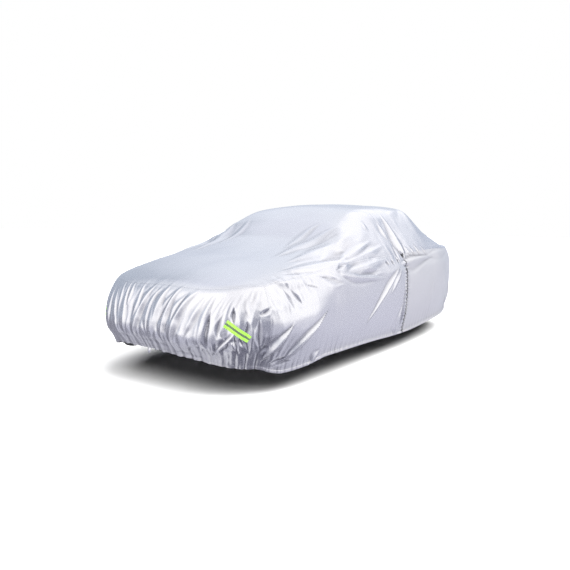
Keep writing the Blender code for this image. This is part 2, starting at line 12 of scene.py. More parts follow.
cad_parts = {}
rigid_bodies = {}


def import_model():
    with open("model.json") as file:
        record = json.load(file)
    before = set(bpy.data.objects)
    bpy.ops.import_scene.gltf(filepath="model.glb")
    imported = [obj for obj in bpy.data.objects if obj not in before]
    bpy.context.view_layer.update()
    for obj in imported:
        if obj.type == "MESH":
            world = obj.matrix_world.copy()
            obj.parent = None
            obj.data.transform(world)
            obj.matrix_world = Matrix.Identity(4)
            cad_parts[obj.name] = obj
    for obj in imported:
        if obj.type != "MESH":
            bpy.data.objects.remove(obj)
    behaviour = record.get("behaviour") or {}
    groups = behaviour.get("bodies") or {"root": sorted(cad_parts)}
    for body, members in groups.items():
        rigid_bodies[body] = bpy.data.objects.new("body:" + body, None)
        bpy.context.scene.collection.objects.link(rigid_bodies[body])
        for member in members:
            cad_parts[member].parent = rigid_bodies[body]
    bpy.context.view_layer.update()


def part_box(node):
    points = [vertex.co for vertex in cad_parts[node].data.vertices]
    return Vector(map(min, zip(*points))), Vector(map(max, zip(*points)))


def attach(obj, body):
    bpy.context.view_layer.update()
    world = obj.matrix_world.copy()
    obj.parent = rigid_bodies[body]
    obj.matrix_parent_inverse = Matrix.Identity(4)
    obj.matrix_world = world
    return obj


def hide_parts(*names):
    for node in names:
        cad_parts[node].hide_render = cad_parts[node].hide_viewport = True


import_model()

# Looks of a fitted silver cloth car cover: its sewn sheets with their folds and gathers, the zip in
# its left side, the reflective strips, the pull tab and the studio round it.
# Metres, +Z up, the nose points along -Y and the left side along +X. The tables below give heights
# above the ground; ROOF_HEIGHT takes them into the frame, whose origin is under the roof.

bl_info = {
    "name": "Car cover looks",
    "version": (1, 0, 0),
    "blender": (4, 5, 0),
    "location": "3D View > Sidebar > Car cover",
    "description": "Sews the cloth, zip, strips and tab of a fitted car cover and sets its studio",
    "category": "Mesh",
}

# ---------------------------------------------------------------- form of the cover, in metres
CLOTH = 0.002
SHOULDER_HALF = 0.842    # half width at the shoulder seam
NOSE = 2.20              # shoulder seam in front of the middle
TAIL = 2.18              # shoulder seam behind the middle
PINCH_SIDE = 0.140       # share by which the width draws in at the corners
PINCH_END = 0.144        # share by which the length draws in at the corners
SQUARENESS = 4.8         # power of the plan curve, high is square
ROOF_SOFTNESS = 0.035    # how softly the top rolls over into the flanks
LEAST_FLANK = 0.05       # narrowest flank beside the flat top

# Canopy at stations along its length: height on the centre line, half width of the flat top, height
# at its edge, shoulder height.
SECTION_COLUMNS = ("station", "crown", "half", "edge", "shoulder")
SECTIONS = np.array([
    (-2.30, 0.740, 0.60, 0.700, 0.640),
    (-2.10, 0.840, 0.66, 0.800, 0.740),
    (-1.70, 0.942, 0.68, 0.912, 0.834),
    (-1.20, 1.043, 0.68, 1.013, 0.898),
    (-0.90, 1.128, 0.66, 1.088, 0.920),
    (-0.60, 1.294, 0.62, 1.244, 0.939),
    (-0.25, 1.416, 0.58, 1.366, 0.950),
    (0.10, 1.447, 0.56, 1.397, 0.960),
    (0.50, 1.460, 0.55, 1.410, 0.970),
    (0.90, 1.460, 0.55, 1.410, 0.981),
    (1.30, 1.284, 0.57, 1.234, 0.984),
    (1.65, 1.098, 0.62, 1.068, 0.982),
    (1.95, 1.042, 0.66, 1.022, 0.980),
    (2.20, 1.010, 0.66, 0.990, 0.935),
])

# How far the skirts stand out from the shoulder seam, from seam (0) to hem (1).
SKIRT_COLUMNS = ("drop", "side", "wing", "front", "rear")
SKIRT_PROFILE = np.array([
    (0.00, 0.000, 0.000, 0.000, 0.000),
    (0.09, 0.025, 0.024, 0.024, 0.022),
    (0.20, 0.050, 0.052, 0.045, 0.040),
    (0.30, 0.056, 0.072, 0.060, 0.050),
    (0.44, 0.060, 0.088, 0.074, 0.054),
    (0.55, 0.058, 0.086, 0.086, 0.055),
    (0.67, 0.052, 0.070, 0.094, 0.052),
    (0.76, 0.043, 0.054, 0.084, 0.043),
    (0.87, 0.026, 0.032, 0.048, 0.026),
    (1.00, 0.005, 0.005, 0.004, 0.000),
])
WING_ZONE = (1.12, 1.46)     # the front corners' own profile sets in this far ahead
SIDE_HEM = np.array([
    (-1.95, 0.215), (-1.72, 0.160), (-1.45, 0.178), (-1.20, 0.208), (-0.70, 0.205),
    (0.35, 0.176), (1.20, 0.205), (1.90, 0.235),
])
FRONT_HEM = np.array([(-0.75, 0.330), (-0.20, 0.325), (0.40, 0.290), (0.75, 0.250)])
REAR_HEM = np.array([(-0.75, 0.240), (0.00, 0.260), (0.75, 0.240)])

# ---------------------------------------------------------------- folds
# Each fold is measured in the flat view that shows it: first, middle and last point of its crest,
# half width, rise, lean (which flank is the steeper), taper (how much wider it ends than it starts,
# as a share of its half width) and peak (where along it stands highest).
FOLD_COLUMNS = ("u0", "v0", "u1", "v1", "u2", "v2", "half", "rise", "lean", "taper", "peak")
CREST_SOFTNESS = 0.50    # rounding of a crest, in half widths
CREST_FALL = 1.7         # how fast it falls away from its crest
TROUGH_SHARE = 0.28      # depth of the trough beside it, as a share of its rise
TROUGH_PLACE = 1.7       # where that trough lies, in half widths
TROUGH_HALF = 0.75
FOLD_REACH = 3.4         # where the fold ends, in half widths
POINT_SHARE = 0.24       # width of a fold at its tip, as a share of its width

# Side view, u is the station and v the height.
SIDE_FOLDS = np.array([
    # crest behind the corner
    (-1.70, 0.535, -1.81, 0.425, -1.945, 0.28, 0.021, 0.027, 0.30, 0.7, 0.64),
    # its neighbour, further back
    (-1.25, 0.60, -1.51, 0.44, -1.775, 0.235, 0.021, 0.026, 0.10, 0.9, 0.68),
    # short one at the hem
    (-1.31, 0.28, -1.38, 0.23, -1.46, 0.17, 0.022, 0.014, 0.30, 0.3, 0.50),
    # dark creases under the crest
    (-1.72, 0.285, -1.80, 0.268, -1.88, 0.25, 0.018, -0.011, 0.00, 0.0, 0.50),
    (-1.66, 0.25, -1.76, 0.243, -1.86, 0.225, 0.016, -0.008, 0.00, 0.0, 0.50),
    # long thin crest down the side
    (0.13, 0.85, -0.20, 0.655, -0.62, 0.36, 0.022, 0.022, 0.20, 0.1, 0.45),
    # short one beside it
    (0.16, 0.82, 0.01, 0.70, -0.13, 0.59, 0.020, 0.010, 0.20, 0.2, 0.40),
    # slack beside the zip
    (0.18, 0.50, 0.13, 0.34, 0.09, 0.17, 0.048, 0.013, 0.00, 0.5, 0.80),
    (0.235, 0.78, 0.225, 0.50, 0.20, 0.22, 0.020, 0.010, -0.20, 0.4, 0.60),
    # fan behind the side pocket
    (-1.00, 0.94, -0.65, 1.011, -0.25, 1.10, 0.024, 0.012, -0.20, 0.3, 0.50),
    (-0.95, 0.92, -0.54, 0.98, -0.06, 1.055, 0.040, 0.013, 0.00, 0.4, 0.40),
    (-0.92, 0.86, -0.53, 0.888, -0.12, 0.928, 0.044, 0.015, 0.00, 0.3, 0.40),
    (-1.05, 0.845, -0.74, 0.806, -0.22, 0.758, 0.034, 0.013, -0.10, 0.2, 0.40),
    (-0.82, 0.82, -0.53, 0.828, -0.24, 0.839, 0.022, -0.006, 0.00, 0.2, 0.50),
    (-1.20, 0.95, -1.00, 0.983, -0.78, 1.025, 0.026, -0.012, 0.00, 0.6, 0.70),
    # creases at the pocket
    (-1.104, 0.877, -1.014, 0.897, -0.896, 0.923, 0.014, -0.012, 0.00, 0.2, 0.50),
    (-1.12, 0.853, -1.01, 0.876, -0.90, 0.90, 0.011, -0.006, 0.00, 0.2, 0.50),
    (-1.33, 0.846, -1.22, 0.829, -1.10, 0.803, 0.018, -0.009, 0.00, 0.3, 0.50),
    (-1.28, 0.815, -1.14, 0.795, -1.00, 0.775, 0.022, -0.007, 0.00, 0.2, 0.50),
    # ridge along the rear belt
    (0.17, 0.878, 0.56, 0.902, 1.08, 0.925, 0.032, 0.028, 0.35, -0.3, 0.35),
    (0.86, 0.93, 1.28, 0.945, 1.72, 0.955, 0.030, 0.010, 0.30, -0.2, 0.50),
    # ridge down the rear corner of the roof
    (0.265, 1.36, 0.275, 1.12, 0.31, 0.89, 0.056, 0.025, -0.10, 0.1, 0.60),
    (0.215, 1.05, 0.235, 0.975, 0.275, 0.905, 0.014, -0.010, 0.00, 0.2, 0.60),
    (0.064, 1.28, 0.079, 1.18, 0.109, 1.08, 0.032, 0.010, 0.00, 0.2, 0.50),
    (-0.275, 1.265, -0.243, 1.234, -0.20, 1.19, 0.026, 0.006, 0.00, 0.2, 0.50),
    # hollow before it
    (0.118, 1.06, 0.128, 0.976, 0.165, 0.885, 0.026, -0.010, 0.00, 0.2, 0.50),
    # fan under the rear slope
    (0.372, 1.08, 0.35, 1.018, 0.335, 0.95, 0.013, 0.009, 0.00, 0.2, 0.60),
    (0.405, 1.06, 0.425, 0.996, 0.462, 0.93, 0.013, 0.009, 0.00, 0.2, 0.60),
    (0.50, 1.05, 0.535, 0.985, 0.59, 0.925, 0.014, 0.010, 0.00, 0.2, 0.60),
    (0.64, 1.06, 0.675, 0.989, 0.725, 0.922, 0.015, 0.010, 0.00, 0.2, 0.60),
    (0.80, 1.04, 0.84, 0.985, 0.90, 0.935, 0.014, 0.007, 0.00, 0.2, 0.60),
    # knots before that ridge
    (-0.18, 0.905, -0.14, 0.893, -0.10, 0.875, 0.015, -0.012, 0.00, 0.0, 0.50),
    (-0.06, 0.915, -0.03, 0.898, 0.00, 0.87, 0.013, -0.011, 0.00, 0.0, 0.50),
    (0.07, 0.935, 0.095, 0.911, 0.13, 0.88, 0.014, -0.012, 0.00, 0.0, 0.50),
    (0.20, 0.855, 0.28, 0.845, 0.36, 0.85, 0.012, -0.010, 0.00, 0.0, 0.50),
    # along the top of the front corner
    (-1.80, 0.86, -1.68, 0.825, -1.40, 0.84, 0.026, 0.009, 0.20, 0.0, 0.50),
    # tucks below it
    (-1.75, 0.79, -1.715, 0.71, -1.69, 0.63, 0.014, -0.006, 0.00, 0.2, 0.50),
    (-1.685, 0.79, -1.645, 0.72, -1.60, 0.66, 0.013, -0.006, 0.00, 0.2, 0.50),
    (-1.52, 0.80, -1.44, 0.782, -1.36, 0.765, 0.012, -0.006, 0.00, 0.2, 0.50),
    # slack in the rear quarter
    (1.40, 0.86, 1.47, 0.62, 1.50, 0.36, 0.060, 0.006, 0.00, 0.3, 0.50),
    (1.05, 0.70, 1.00, 0.48, 1.02, 0.27, 0.050, 0.004, 0.00, 0.3, 0.50),
    # low on the rear quarter
    (1.72, 0.60, 1.78, 0.44, 1.84, 0.27, 0.034, 0.012, -0.20, 0.5, 0.50),
    (1.58, 0.44, 1.64, 0.35, 1.72, 0.25, 0.026, 0.009, -0.20, 0.5, 0.50),
])
# Top view, u is the distance to the left and v the station.
TOP_FOLDS = np.array([
    # fan up the front corner of the roof
    (0.41, -1.24, 0.366, -0.87, 0.44, -0.60, 0.028, 0.009, 0.00, 0.4, 0.50),
    (0.473, -1.46, 0.493, -1.04, 0.605, -0.62, 0.042, 0.015, -0.10, 0.5, 0.50),
    (0.62, -1.47, 0.665, -1.06, 0.69, -0.56, 0.050, 0.021, 0.00, 0.5, 0.55),
    (0.684, -1.68, 0.763, -1.34, 0.815, -0.92, 0.036, 0.014, 0.20, 0.4, 0.50),
    (0.71, -1.69, 0.78, -1.50, 0.828, -1.26, 0.020, -0.009, 0.00, 0.2, 0.50),
    # edge of the roof
    (0.53, -0.26, 0.60, -0.08, 0.605, 0.30, 0.040, 0.008, 0.30, 0.2, 0.50),
    # beside the rear slope
    (0.42, 1.02, 0.52, 1.22, 0.60, 1.48, 0.034, 0.010, 0.00, 0.4, 0.50),
    (0.26, 1.10, 0.33, 1.34, 0.42, 1.62, 0.030, 0.006, 0.00, 0.4, 0.50),
    (0.64, 1.30, 0.70, 1.52, 0.72, 1.80, 0.034, 0.009, 0.00, 0.3, 0.50),
    # across the foot of the rear slope
    (0.50, 1.62, 0.30, 1.70, 0.02, 1.72, 0.045, 0.005, 0.20, 0.0, 0.50),
    (0.58, 0.42, 0.55, 0.62, 0.50, 0.86, 0.030, 0.006, 0.20, 0.2, 0.50),
])
# Front view, u is the distance to the left and v the height: the pleats that fan out round the nose.
FRONT_FOLDS = np.array([
    # round the far corner
    (-0.66, 0.82, -0.71, 0.55, -0.69, 0.30, 0.0221, 0.00782, 0.30, 0.3, 0.62),
    (-0.60, 0.81, -0.66, 0.56, -0.63, 0.31, 0.0255, 0.00945, 0.30, 0.3, 0.62),
    (-0.53, 0.82, -0.57, 0.58, -0.55, 0.36, 0.0204, 0.00728, 0.20, 0.3, 0.62),
    (-0.47, 0.81, -0.50, 0.56, -0.47, 0.33, 0.0221, 0.00837, 0.30, 0.3, 0.62),
    (-0.43, 0.82, -0.405, 0.575, -0.31, 0.34, 0.0153, 0.00612, 0.30, 0.2, 0.62),
    (-0.385, 0.83, -0.366, 0.70, -0.37, 0.56, 0.0136, 0.00465, 0.10, 0.2, 0.50),
    (-0.305, 0.81, -0.295, 0.60, -0.27, 0.35, 0.0221, 0.0101, 0.30, 0.3, 0.62),
    (-0.27, 0.82, -0.256, 0.71, -0.28, 0.60, 0.014, 0.006, 0.10, 0.2, 0.50),
    (-0.15, 0.82, -0.157, 0.68, -0.20, 0.53, 0.018, 0.0072, 0.20, 0.2, 0.62),
    (-0.01, 0.81, -0.13, 0.61, -0.175, 0.37, 0.028, 0.013, 0.35, 0.2, 0.62),
    (0.055, 0.79, -0.045, 0.62, -0.03, 0.44, 0.020, 0.0079, 0.20, 0.2, 0.62),
    (0.13, 0.81, 0.04, 0.615, 0.01, 0.38, 0.036, 0.0144, 0.35, 0.2, 0.62),
    (0.20, 0.77, 0.115, 0.63, 0.072, 0.53, 0.018, -0.008, 0.00, 0.2, 0.50),
    (0.25, 0.81, 0.142, 0.63, 0.118, 0.39, 0.028, 0.013, 0.35, 0.2, 0.62),
    (0.31, 0.75, 0.235, 0.64, 0.20, 0.54, 0.018, -0.009, 0.00, 0.2, 0.50),
    (0.40, 0.79, 0.25, 0.61, 0.205, 0.37, 0.038, 0.0158, 0.35, 0.1, 0.62),
    (0.46, 0.75, 0.385, 0.61, 0.32, 0.45, 0.022, 0.0072, 0.10, 0.2, 0.62),
    (0.515, 0.755, 0.46, 0.55, 0.455, 0.31, 0.030, 0.0173, 0.20, 0.1, 0.62),
    (0.507, 0.65, 0.494, 0.50, 0.492, 0.33, 0.014, -0.013, 0.00, 0.2, 0.50),
    (0.58, 0.75, 0.53, 0.55, 0.538, 0.34, 0.022, 0.0094, 0.10, 0.2, 0.62),
    (0.588, 0.64, 0.568, 0.545, 0.567, 0.45, 0.013, -0.009, 0.00, 0.2, 0.50),
    (0.62, 0.76, 0.594, 0.59, 0.61, 0.45, 0.018, 0.0086, 0.00, 0.2, 0.62),
    (0.636, 0.68, 0.642, 0.62, 0.656, 0.545, 0.010, -0.015, 0.00, 0.2, 0.50),
    (0.656, 0.48, 0.66, 0.42, 0.658, 0.34, 0.010, -0.010, 0.00, 0.2, 0.50),
    (0.658, 0.77, 0.671, 0.60, 0.688, 0.46, 0.026, 0.0115, 0.00, 0.2, 0.62),
    (0.689, 0.80, 0.702, 0.69, 0.714, 0.61, 0.012, 0.005, 0.00, 0.2, 0.50),
    (0.711, 0.59, 0.714, 0.49, 0.702, 0.34, 0.012, -0.013, 0.00, 0.2, 0.50),
    (0.712, 0.80, 0.73, 0.58, 0.72, 0.35, 0.022, 0.0101, 0.00, 0.2, 0.62),
    (0.757, 0.61, 0.761, 0.48, 0.747, 0.36, 0.011, -0.010, 0.00, 0.2, 0.50),
])
# Short creases in the gathered bottom of the nose and round its corner, front view.
NOSE_CREASES = np.array([
    (0.645, 0.495, 0.59, 0.425, 0.50, 0.33, 0.012, -0.013, 0.40, 0.2, 0.50),
    (0.66, 0.50, 0.61, 0.435, 0.52, 0.345, 0.018, 0.010, 0.20, 0.2, 0.50),
    (0.68, 0.47, 0.689, 0.435, 0.694, 0.40, 0.014, -0.011, 0.00, 0.2, 0.50),
    (0.786, 0.675, 0.775, 0.635, 0.756, 0.62, 0.012, -0.009, 0.00, 0.2, 0.50),
    (0.782, 0.41, 0.765, 0.38, 0.735, 0.335, 0.012, -0.009, 0.00, 0.2, 0.50),
    (0.415, 0.445, 0.445, 0.405, 0.385, 0.395, 0.012, -0.006, 0.00, 0.0, 0.50),
    (0.385, 0.395, 0.345, 0.375, 0.32, 0.335, 0.012, -0.006, 0.00, 0.0, 0.50),
    (-0.16, 0.395, 0.02, 0.385, 0.17, 0.36, 0.018, -0.005, 0.00, 0.0, 0.50),
    (0.15, 0.35, 0.30, 0.33, 0.46, 0.31, 0.018, -0.006, 0.00, 0.0, 0.50),
    (-0.40, 0.42, -0.33, 0.405, -0.22, 0.395, 0.016, -0.005, 0.00, 0.0, 0.50),
    # panel under the strip
    (0.625, 0.445, 0.655, 0.405, 0.672, 0.355, 0.026, 0.012, 0.00, 0.2, 0.40),
])
# Rear view, one row for each pleat: distance to the left at the seam, half way and at the hem, then
# its half width, rise and lean.
REAR_HEIGHTS = (0.95, 0.55, 0.22)
REAR_PLEATS = np.array([
    (-0.66, -0.68, -0.66, 0.030, 0.012, 0.20),
    (-0.57, -0.60, -0.58, 0.024, 0.007, 0.20),
    (-0.48, -0.52, -0.50, 0.034, 0.013, 0.20),
    (-0.38, -0.41, -0.42, 0.024, 0.007, 0.00),
    (-0.30, -0.31, -0.33, 0.034, 0.012, -0.20),
    (-0.21, -0.22, -0.23, 0.022, 0.006, 0.00),
    (-0.12, -0.15, -0.14, 0.034, 0.014, 0.20),
    (-0.02, -0.05, -0.03, 0.024, 0.006, 0.00),
    (0.07, 0.05, 0.08, 0.034, 0.012, 0.20),
    (0.16, 0.16, 0.17, 0.024, 0.006, 0.00),
    (0.24, 0.26, 0.25, 0.034, 0.013, -0.20),
    (0.34, 0.35, 0.34, 0.024, 0.007, 0.00),
    (0.43, 0.45, 0.43, 0.034, 0.012, -0.20),
    (0.53, 0.56, 0.54, 0.024, 0.007, 0.00),
    (0.63, 0.66, 0.64, 0.030, 0.013, -0.20),
])
# Where each group of folds sets in: distance from the centre line, height, distance ahead, behind.
SIDE_ZONE = (0.50, 0.60)
TOP_ZONE = (0.84, 0.90)
FRONT_ZONE = (1.78, 1.96)
REAR_ZONE = (1.80, 1.96)
FAR_SIDE_SHIFT = 0.06    # the right side's folds lie this much further back
FAR_SIDE_SHARE = 0.90    # and are this much as high
# Soft bulges of the cloth: distance to the left, station, height, radius along and across, rise.
BULGES = (
    (0.86, -1.04, 0.93, 0.170, 0.110, 0.020),     # left side pocket
    (-0.86, -1.04, 0.93, 0.170, 0.110, 0.020),    # right side pocket
    (-0.60, -0.88, 1.12, 0.085, 0.070, 0.030),    # foot of the roof's right front corner
)

# Gathers that the elastic draws up along the hem: pitch, how far up they reach, height of a ripple,
# and how much higher they are across the nose.
GATHERS = np.array([
    (0.026, 0.035, 0.0018, 0.9),
    (0.043, 0.085, 0.0030, 1.2),
    (0.085, 0.150, 0.0034, 2.4),
])
HEM_FLARE = 0.012        # the hem's stiff edge stands out this far
HEM_FLARE_REACH = 0.026
# Crumpling of the cloth: size of the creases, their height on a slack part and on a taut panel.
CRUMPLES = np.array([
    (0.34, 0.0050, 0.0040),
    (0.13, 0.0034, 0.0008),
    (0.060, 0.0016, 0.0002),
])

# Painted shade in narrow creases: where the cloth bends sharply, its colour is darkened towards the
# tone below, standing in for the shade there.
CREASE_SHARP = 0.65      # how sharply the cloth bends at a crease that gets the full painted shade
CREASE_SHADE = 0.70      # how far the painted shade darkens the bottom of such a crease
PAINTED_SHADE_TONE = (0.10, 0.10, 0.13)
THREAD = (0.36, 0.37, 0.40)
LINING = (0.16, 0.16, 0.17)      # matt inner side of the cloth
WEAVE_PITCH = 0.0016             # threads of the weave, both ways
SILVER_FINISH = (0.98, 0.26)     # how metallic and how rough the silver cloth is
PALE_FINISH = (0.88, 0.42)       # the same for the paler cloth
# Spots where the cloth is slack, on both sides: distance from the centre line, station, height and
# radius.
SLACK_SPOTS = (
    (0.84, -1.05, 0.90, 0.20),    # side pockets
    (0.70, 0.22, 1.05, 0.24),     # rear corners of the roof
)
SLACK_CORNER = (0.74, 1.86, 0.16)     # corners of the plan: across, along, radius
SLACK_TAIL = 0.6                      # how slack the tail is
# Fans of fine creases, on both sides: the flat view they spread in and their centre there; where they
# set in beside it; the spans of distance and angle in which they rise and fade; their height, which
# may grow with the distance; how fast they turn, their pitch and how long they are for it.
FANS = (
    # behind the side pockets
    dict(view="side", centre=(-1.06, 0.885), zone=(0.52, 0.66), reach=(0.10, 0.30, 0.55, 0.95),
         angle=(-0.30, -0.05, 0.65, 1.05), rise=0.011, grows=True, turn=0.5, pitch=0.050,
         stretch=9.0, seed=31),
    # over the front corners and up the front slope
    dict(view="top", centre=(-1.62, 0.40), zone=(0.84, 0.94), reach=(0.12, 0.35, 0.70, 1.15),
         angle=(-0.12, 0.06, 0.36, 0.60), rise=0.008, grows=True, turn=0.7, pitch=0.050,
         stretch=10.0, seed=41),
    # up from the hem behind the front corners
    dict(view="ahead", centre=(1.90, 0.10), zone=(0.60, 0.70), reach=(0.10, 0.22, 0.34, 0.60),
         angle=(1.20, 1.50, 2.50, 2.75), rise=0.0035, grows=False, turn=0.4, pitch=0.040,
         stretch=5.0, seed=71),
)

# ---------------------------------------------------------------- fittings
ZIP_STATION = 0.27
ZIP_HALF = 0.014         # half width of the two tapes
ZIP_PUCKER = 0.036       # pitch of the puckers along the zip
PUCKER_RISE = 0.0056     # height of a pucker
PUCKER_REACH = 0.030     # how far from the zip it has half faded
PUCKER_LAP = 0.003       # how far it laps over the zip at its crest
PUCKER_STAND = 0.002     # how far the cloth beside the zip stands out
FLAP_LENGTH = 0.155      # the cloth closes over the zip this far down from the shoulder seam
TAPE_DEPTH = 0.0027      # the tape lies this far behind the face of the cloth
SLIDER_DROP = 0.180      # slider's middle below the shoulder seam
TAPE_THICKNESS = 0.0012
TEETH_FROM = 0.012       # first tooth below the shoulder seam
TEETH_TO = 0.004         # last tooth above the hem
TOOTH_HALF = 0.21        # half height of a tooth, as a share of the pitch
TOOTH_MIDDLE = 0.0013    # a tooth narrows towards this distance from the zip's middle line
TOOTH_SPAN = (-0.0008, 0.0034)    # from just past the middle line out to the tape
# Layers of a tooth: height over the tape, share of its width and of its height.
TOOTH_LAYERS = ((0.0004, 1.0, 1.0), (0.0018, 1.0, 0.9), (0.0026, 0.7, 0.5))
SLIDER_STAND = 0.0052    # slider's base over the tape
# Slider and pull: half of the outline (beside the middle, down) and layers (height, share of the
# outline).
SLIDER_OUTLINE = ((0.0062, -0.013), (0.0062, -0.004), (0.004464, 0.013))
SLIDER_LAYERS = ((0.0, 0.90), (0.0006, 1.0), (0.0018, 1.0), (0.0026, 0.80))
PULL_OUTLINE = ((0.0022, 0.0), (0.0030, 0.006), (0.0042, 0.020), (0.0042, 0.032), (0.0026, 0.037))
PULL_LAYERS = ((-0.0009, 0.96), (-0.0005, 1.0), (0.0005, 1.0), (0.0009, 0.96))
PULL_STAND = 0.0046      # pull's middle over the slider's base
PULL_TILT = 0.0006 / 0.037       # how much further out its lower end is
BRIDGE = ((-0.009, 0.0022), (-0.0065, 0.0056), (0.0, 0.0066), (0.0065, 0.0056), (0.009, 0.0022))
BRIDGE_HALF = (0.0016, 0.0006)   # half width and half thickness of the slider's bridge, whose
                                 # middle line BRIDGE gives (down, height over the slider's base)
FITTING_EDGE = 0.0003    # rounding of the edges of slider and pull
STRIP_FROM = (0.605, -2.170, 0.570)
STRIP_TO = (0.710, -2.040, 0.455)
STRIP_FACING = (0.62, -0.785, 0.0)
STRIP_WIDTH = 0.055
STRIP_LINE = (0.0070, 0.0085)    # half width of the line of beads, and where its edge has faded
STRIP_THICKNESS = 0.0008
STRIP_CELLS = (56, 20)   # mesh cells along a strip and across it
STRIP_STIFFNESS = 24     # rounds of smoothing with which it bridges the narrow pleats
STRIP_STAND = 0.0010     # how far it stands off the cloth
TAB_CENTRE = -0.09
TAB_THICKNESS = 0.0016
TAB_TUCK = 0.002         # how far it reaches up behind the hem
HEM_STITCH = 0.024       # stitching line of the hem's tunnel, above the hem
SEAM_STITCH = 0.007      # stitching line beside a seam

# ---------------------------------------------------------------- studio
FLOOR_HALF = 60.0
LOOK_AT = (-0.379, 0.0, 0.587)   # where the camera looks, in heights above the ground
# Light from all round by elevation in degrees: red, green, blue.
DOME_TOP = 1.6
DOME = (
    (-90.0, 0.70, 0.70, 0.77),
    (-56.0, 0.80, 0.80, 0.88),
    (-32.0, 0.86, 0.86, 0.98),
    (-14.0, 0.98, 0.98, 1.10),
    (0.0, 0.95, 0.96, 1.06),
    (12.0, 0.92, 0.97, 1.10),
    (26.0, 1.16, 1.22, 1.32),
    (40.0, 1.26, 1.31, 1.38),
    (55.0, 1.44, 1.47, 1.51),
    (72.0, 1.32, 1.34, 1.38),
    (90.0, 1.25, 1.27, 1.30),
)
# Soft-edged screens in front of it: azimuth from the nose towards the left side, half width, lowest
# and highest elevation, softness of the edge, all in degrees, and their own red, green and blue.
SCREENS = (
    (6.0, 54.0, 7.0, 50.0, 14.0, 1.90, 1.87, 1.82),
    (60.0, 30.0, 34.0, 60.0, 9.0, 1.62, 1.60, 1.58),
    (-97.0, 29.0, -6.0, 35.0, 9.0, 0.62, 0.69, 0.80),
    (-92.0, 40.0, -40.0, -4.0, 8.0, 0.42, 0.42, 0.49),
    (10.0, 26.0, -32.0, -10.0, 9.0, 0.66, 0.66, 0.74),
    (18.0, 26.0, -82.0, -50.0, 8.0, 1.10, 1.10, 1.14),
    (74.0, 28.0, -28.0, -7.0, 11.0, 0.54, 0.54, 0.64),
    (84.0, 39.0, -72.0, -33.0, 9.0, 0.25, 0.25, 0.32),
    (112.0, 40.0, 23.0, 48.0, 9.0, 1.85, 1.82, 1.76),
    (131.0, 15.0, 6.0, 40.0, 9.0, 1.80, 1.78, 1.74),
    (122.0, 14.0, -3.0, 40.0, 10.0, 1.88, 1.86, 1.82),
    (93.0, 14.0, -10.0, 12.0, 8.0, 0.47, 0.48, 0.58),
    (-126.0, 12.0, 42.0, 56.0, 8.0, 1.24, 1.28, 1.38),
    (176.0, 19.0, 27.0, 50.0, 8.0, 1.76, 1.76, 1.78),
    (153.0, 9.0, 6.0, 24.0, 5.0, 1.42, 1.42, 1.46),
    (-158.0, 22.0, -12.0, 14.0, 9.0, 0.66, 0.73, 0.86),
    (176.0, 12.0, 0.0, 16.0, 7.0, 0.66, 0.73, 0.87),
)
# Wide lights that only dull surfaces take up, two on the floor and one on the pieces: how far each
# leans to the left side and to the nose (1 is 45 degrees), its width in degrees and its share of the
# stage's dull light.
FLOOR_LIGHTS = (
    (0.62, 0.05, 46.0, 0.88),
    (0.62, 0.80, 46.0, 1.00),
)
PIECE_LIGHT = (0.47, 0.73, 50.0, 0.52)


# ---------------------------------------------------------------- curves and the plain form
def curve(x, xs, ys):
    """A smooth line through the points (xs, ys) that doesn't overshoot them."""
    x = np.asarray(x, float)
    step = np.diff(xs)
    slope = np.diff(ys) / step
    tangent = np.zeros(len(xs))
    product = slope[:-1] * slope[1:]
    safe = np.where(product > 0, slope[:-1] + slope[1:], 1.0)
    tangent[1:-1] = np.where(product > 0, 2 * product / safe, 0.0)
    tangent[0], tangent[-1] = slope[0], slope[-1]
    k = np.clip(np.searchsorted(xs, x) - 1, 0, len(xs) - 2)
    t = np.clip((x - xs[k]) / step[k], 0.0, 1.0)
    rise = ys[k] * (1 + 2 * t) * (1 - t) ** 2 + ys[k + 1] * t * t * (3 - 2 * t)
    lean = tangent[k] * t * (1 - t) ** 2 + tangent[k + 1] * t * t * (t - 1)
    return rise + lean * step[k]


def read(table, columns, name, where):
    """A named column of a table at places along its first column."""
    return curve(where, table[:, 0], table[:, columns.index(name)])


def smooth_step(value, low, high):
    """0 below low, 1 above high and smooth between them."""
    t = np.clip((value - low) / (high - low), 0, 1)
    return t * t * (3 - 2 * t)


def window(value, low, full, fade, high):
    """1 from full to fade, 0 below low and above high, and smooth between them."""
    return smooth_step(value, low, full) * smooth_step(-value, -high, -fade)


def canopy_point(across, along):
    """A point of the unfolded canopy: across and along run from -1 to 1."""
    across, along = np.broadcast_arrays(np.asarray(across, float), np.asarray(along, float))
    x = across * SHOULDER_HALF * (1 - PINCH_SIDE * np.abs(along) ** SQUARENESS)
    reach = np.where(along < 0, NOSE, TAIL)
    y = along * reach * (1 - PINCH_END * np.abs(across) ** SQUARENESS)
    crown, half, edge, shoulder = (
        read(SECTIONS, SECTION_COLUMNS, name, y) for name in SECTION_COLUMNS[1:]
    )
    share = np.clip(np.abs(y) / np.where(y < 0, NOSE, TAIL), 0, 1)
    rim = SHOULDER_HALF * (1 - PINCH_SIDE * share ** SQUARENESS)
    lid = crown - (crown - edge) * (x / half) ** 2
    flank = shoulder + (edge - shoulder) * (rim - np.abs(x)) / np.maximum(rim - half, LEAST_FLANK)
    z = -ROOF_SOFTNESS * np.logaddexp(-lid / ROOF_SOFTNESS, -flank / ROOF_SOFTNESS)
    return np.stack([x, y, z], -1)


ROOF_HEIGHT = float(canopy_point(0.0, 0.0)[2]) - CLOTH


def station_to_along(station):
    """The along value at which the shoulder seam passes a station."""
    return station / ((NOSE if station < 0 else TAIL) * (1 - PINCH_END))


def even_steps(points, values, count):
    """Values at count + 1 places that lie evenly along a line of points."""
    length = np.concatenate([[0], np.cumsum(np.linalg.norm(np.diff(points, axis=0), axis=1))])
    return np.interp(np.linspace(0, length[-1], count + 1), length, values)


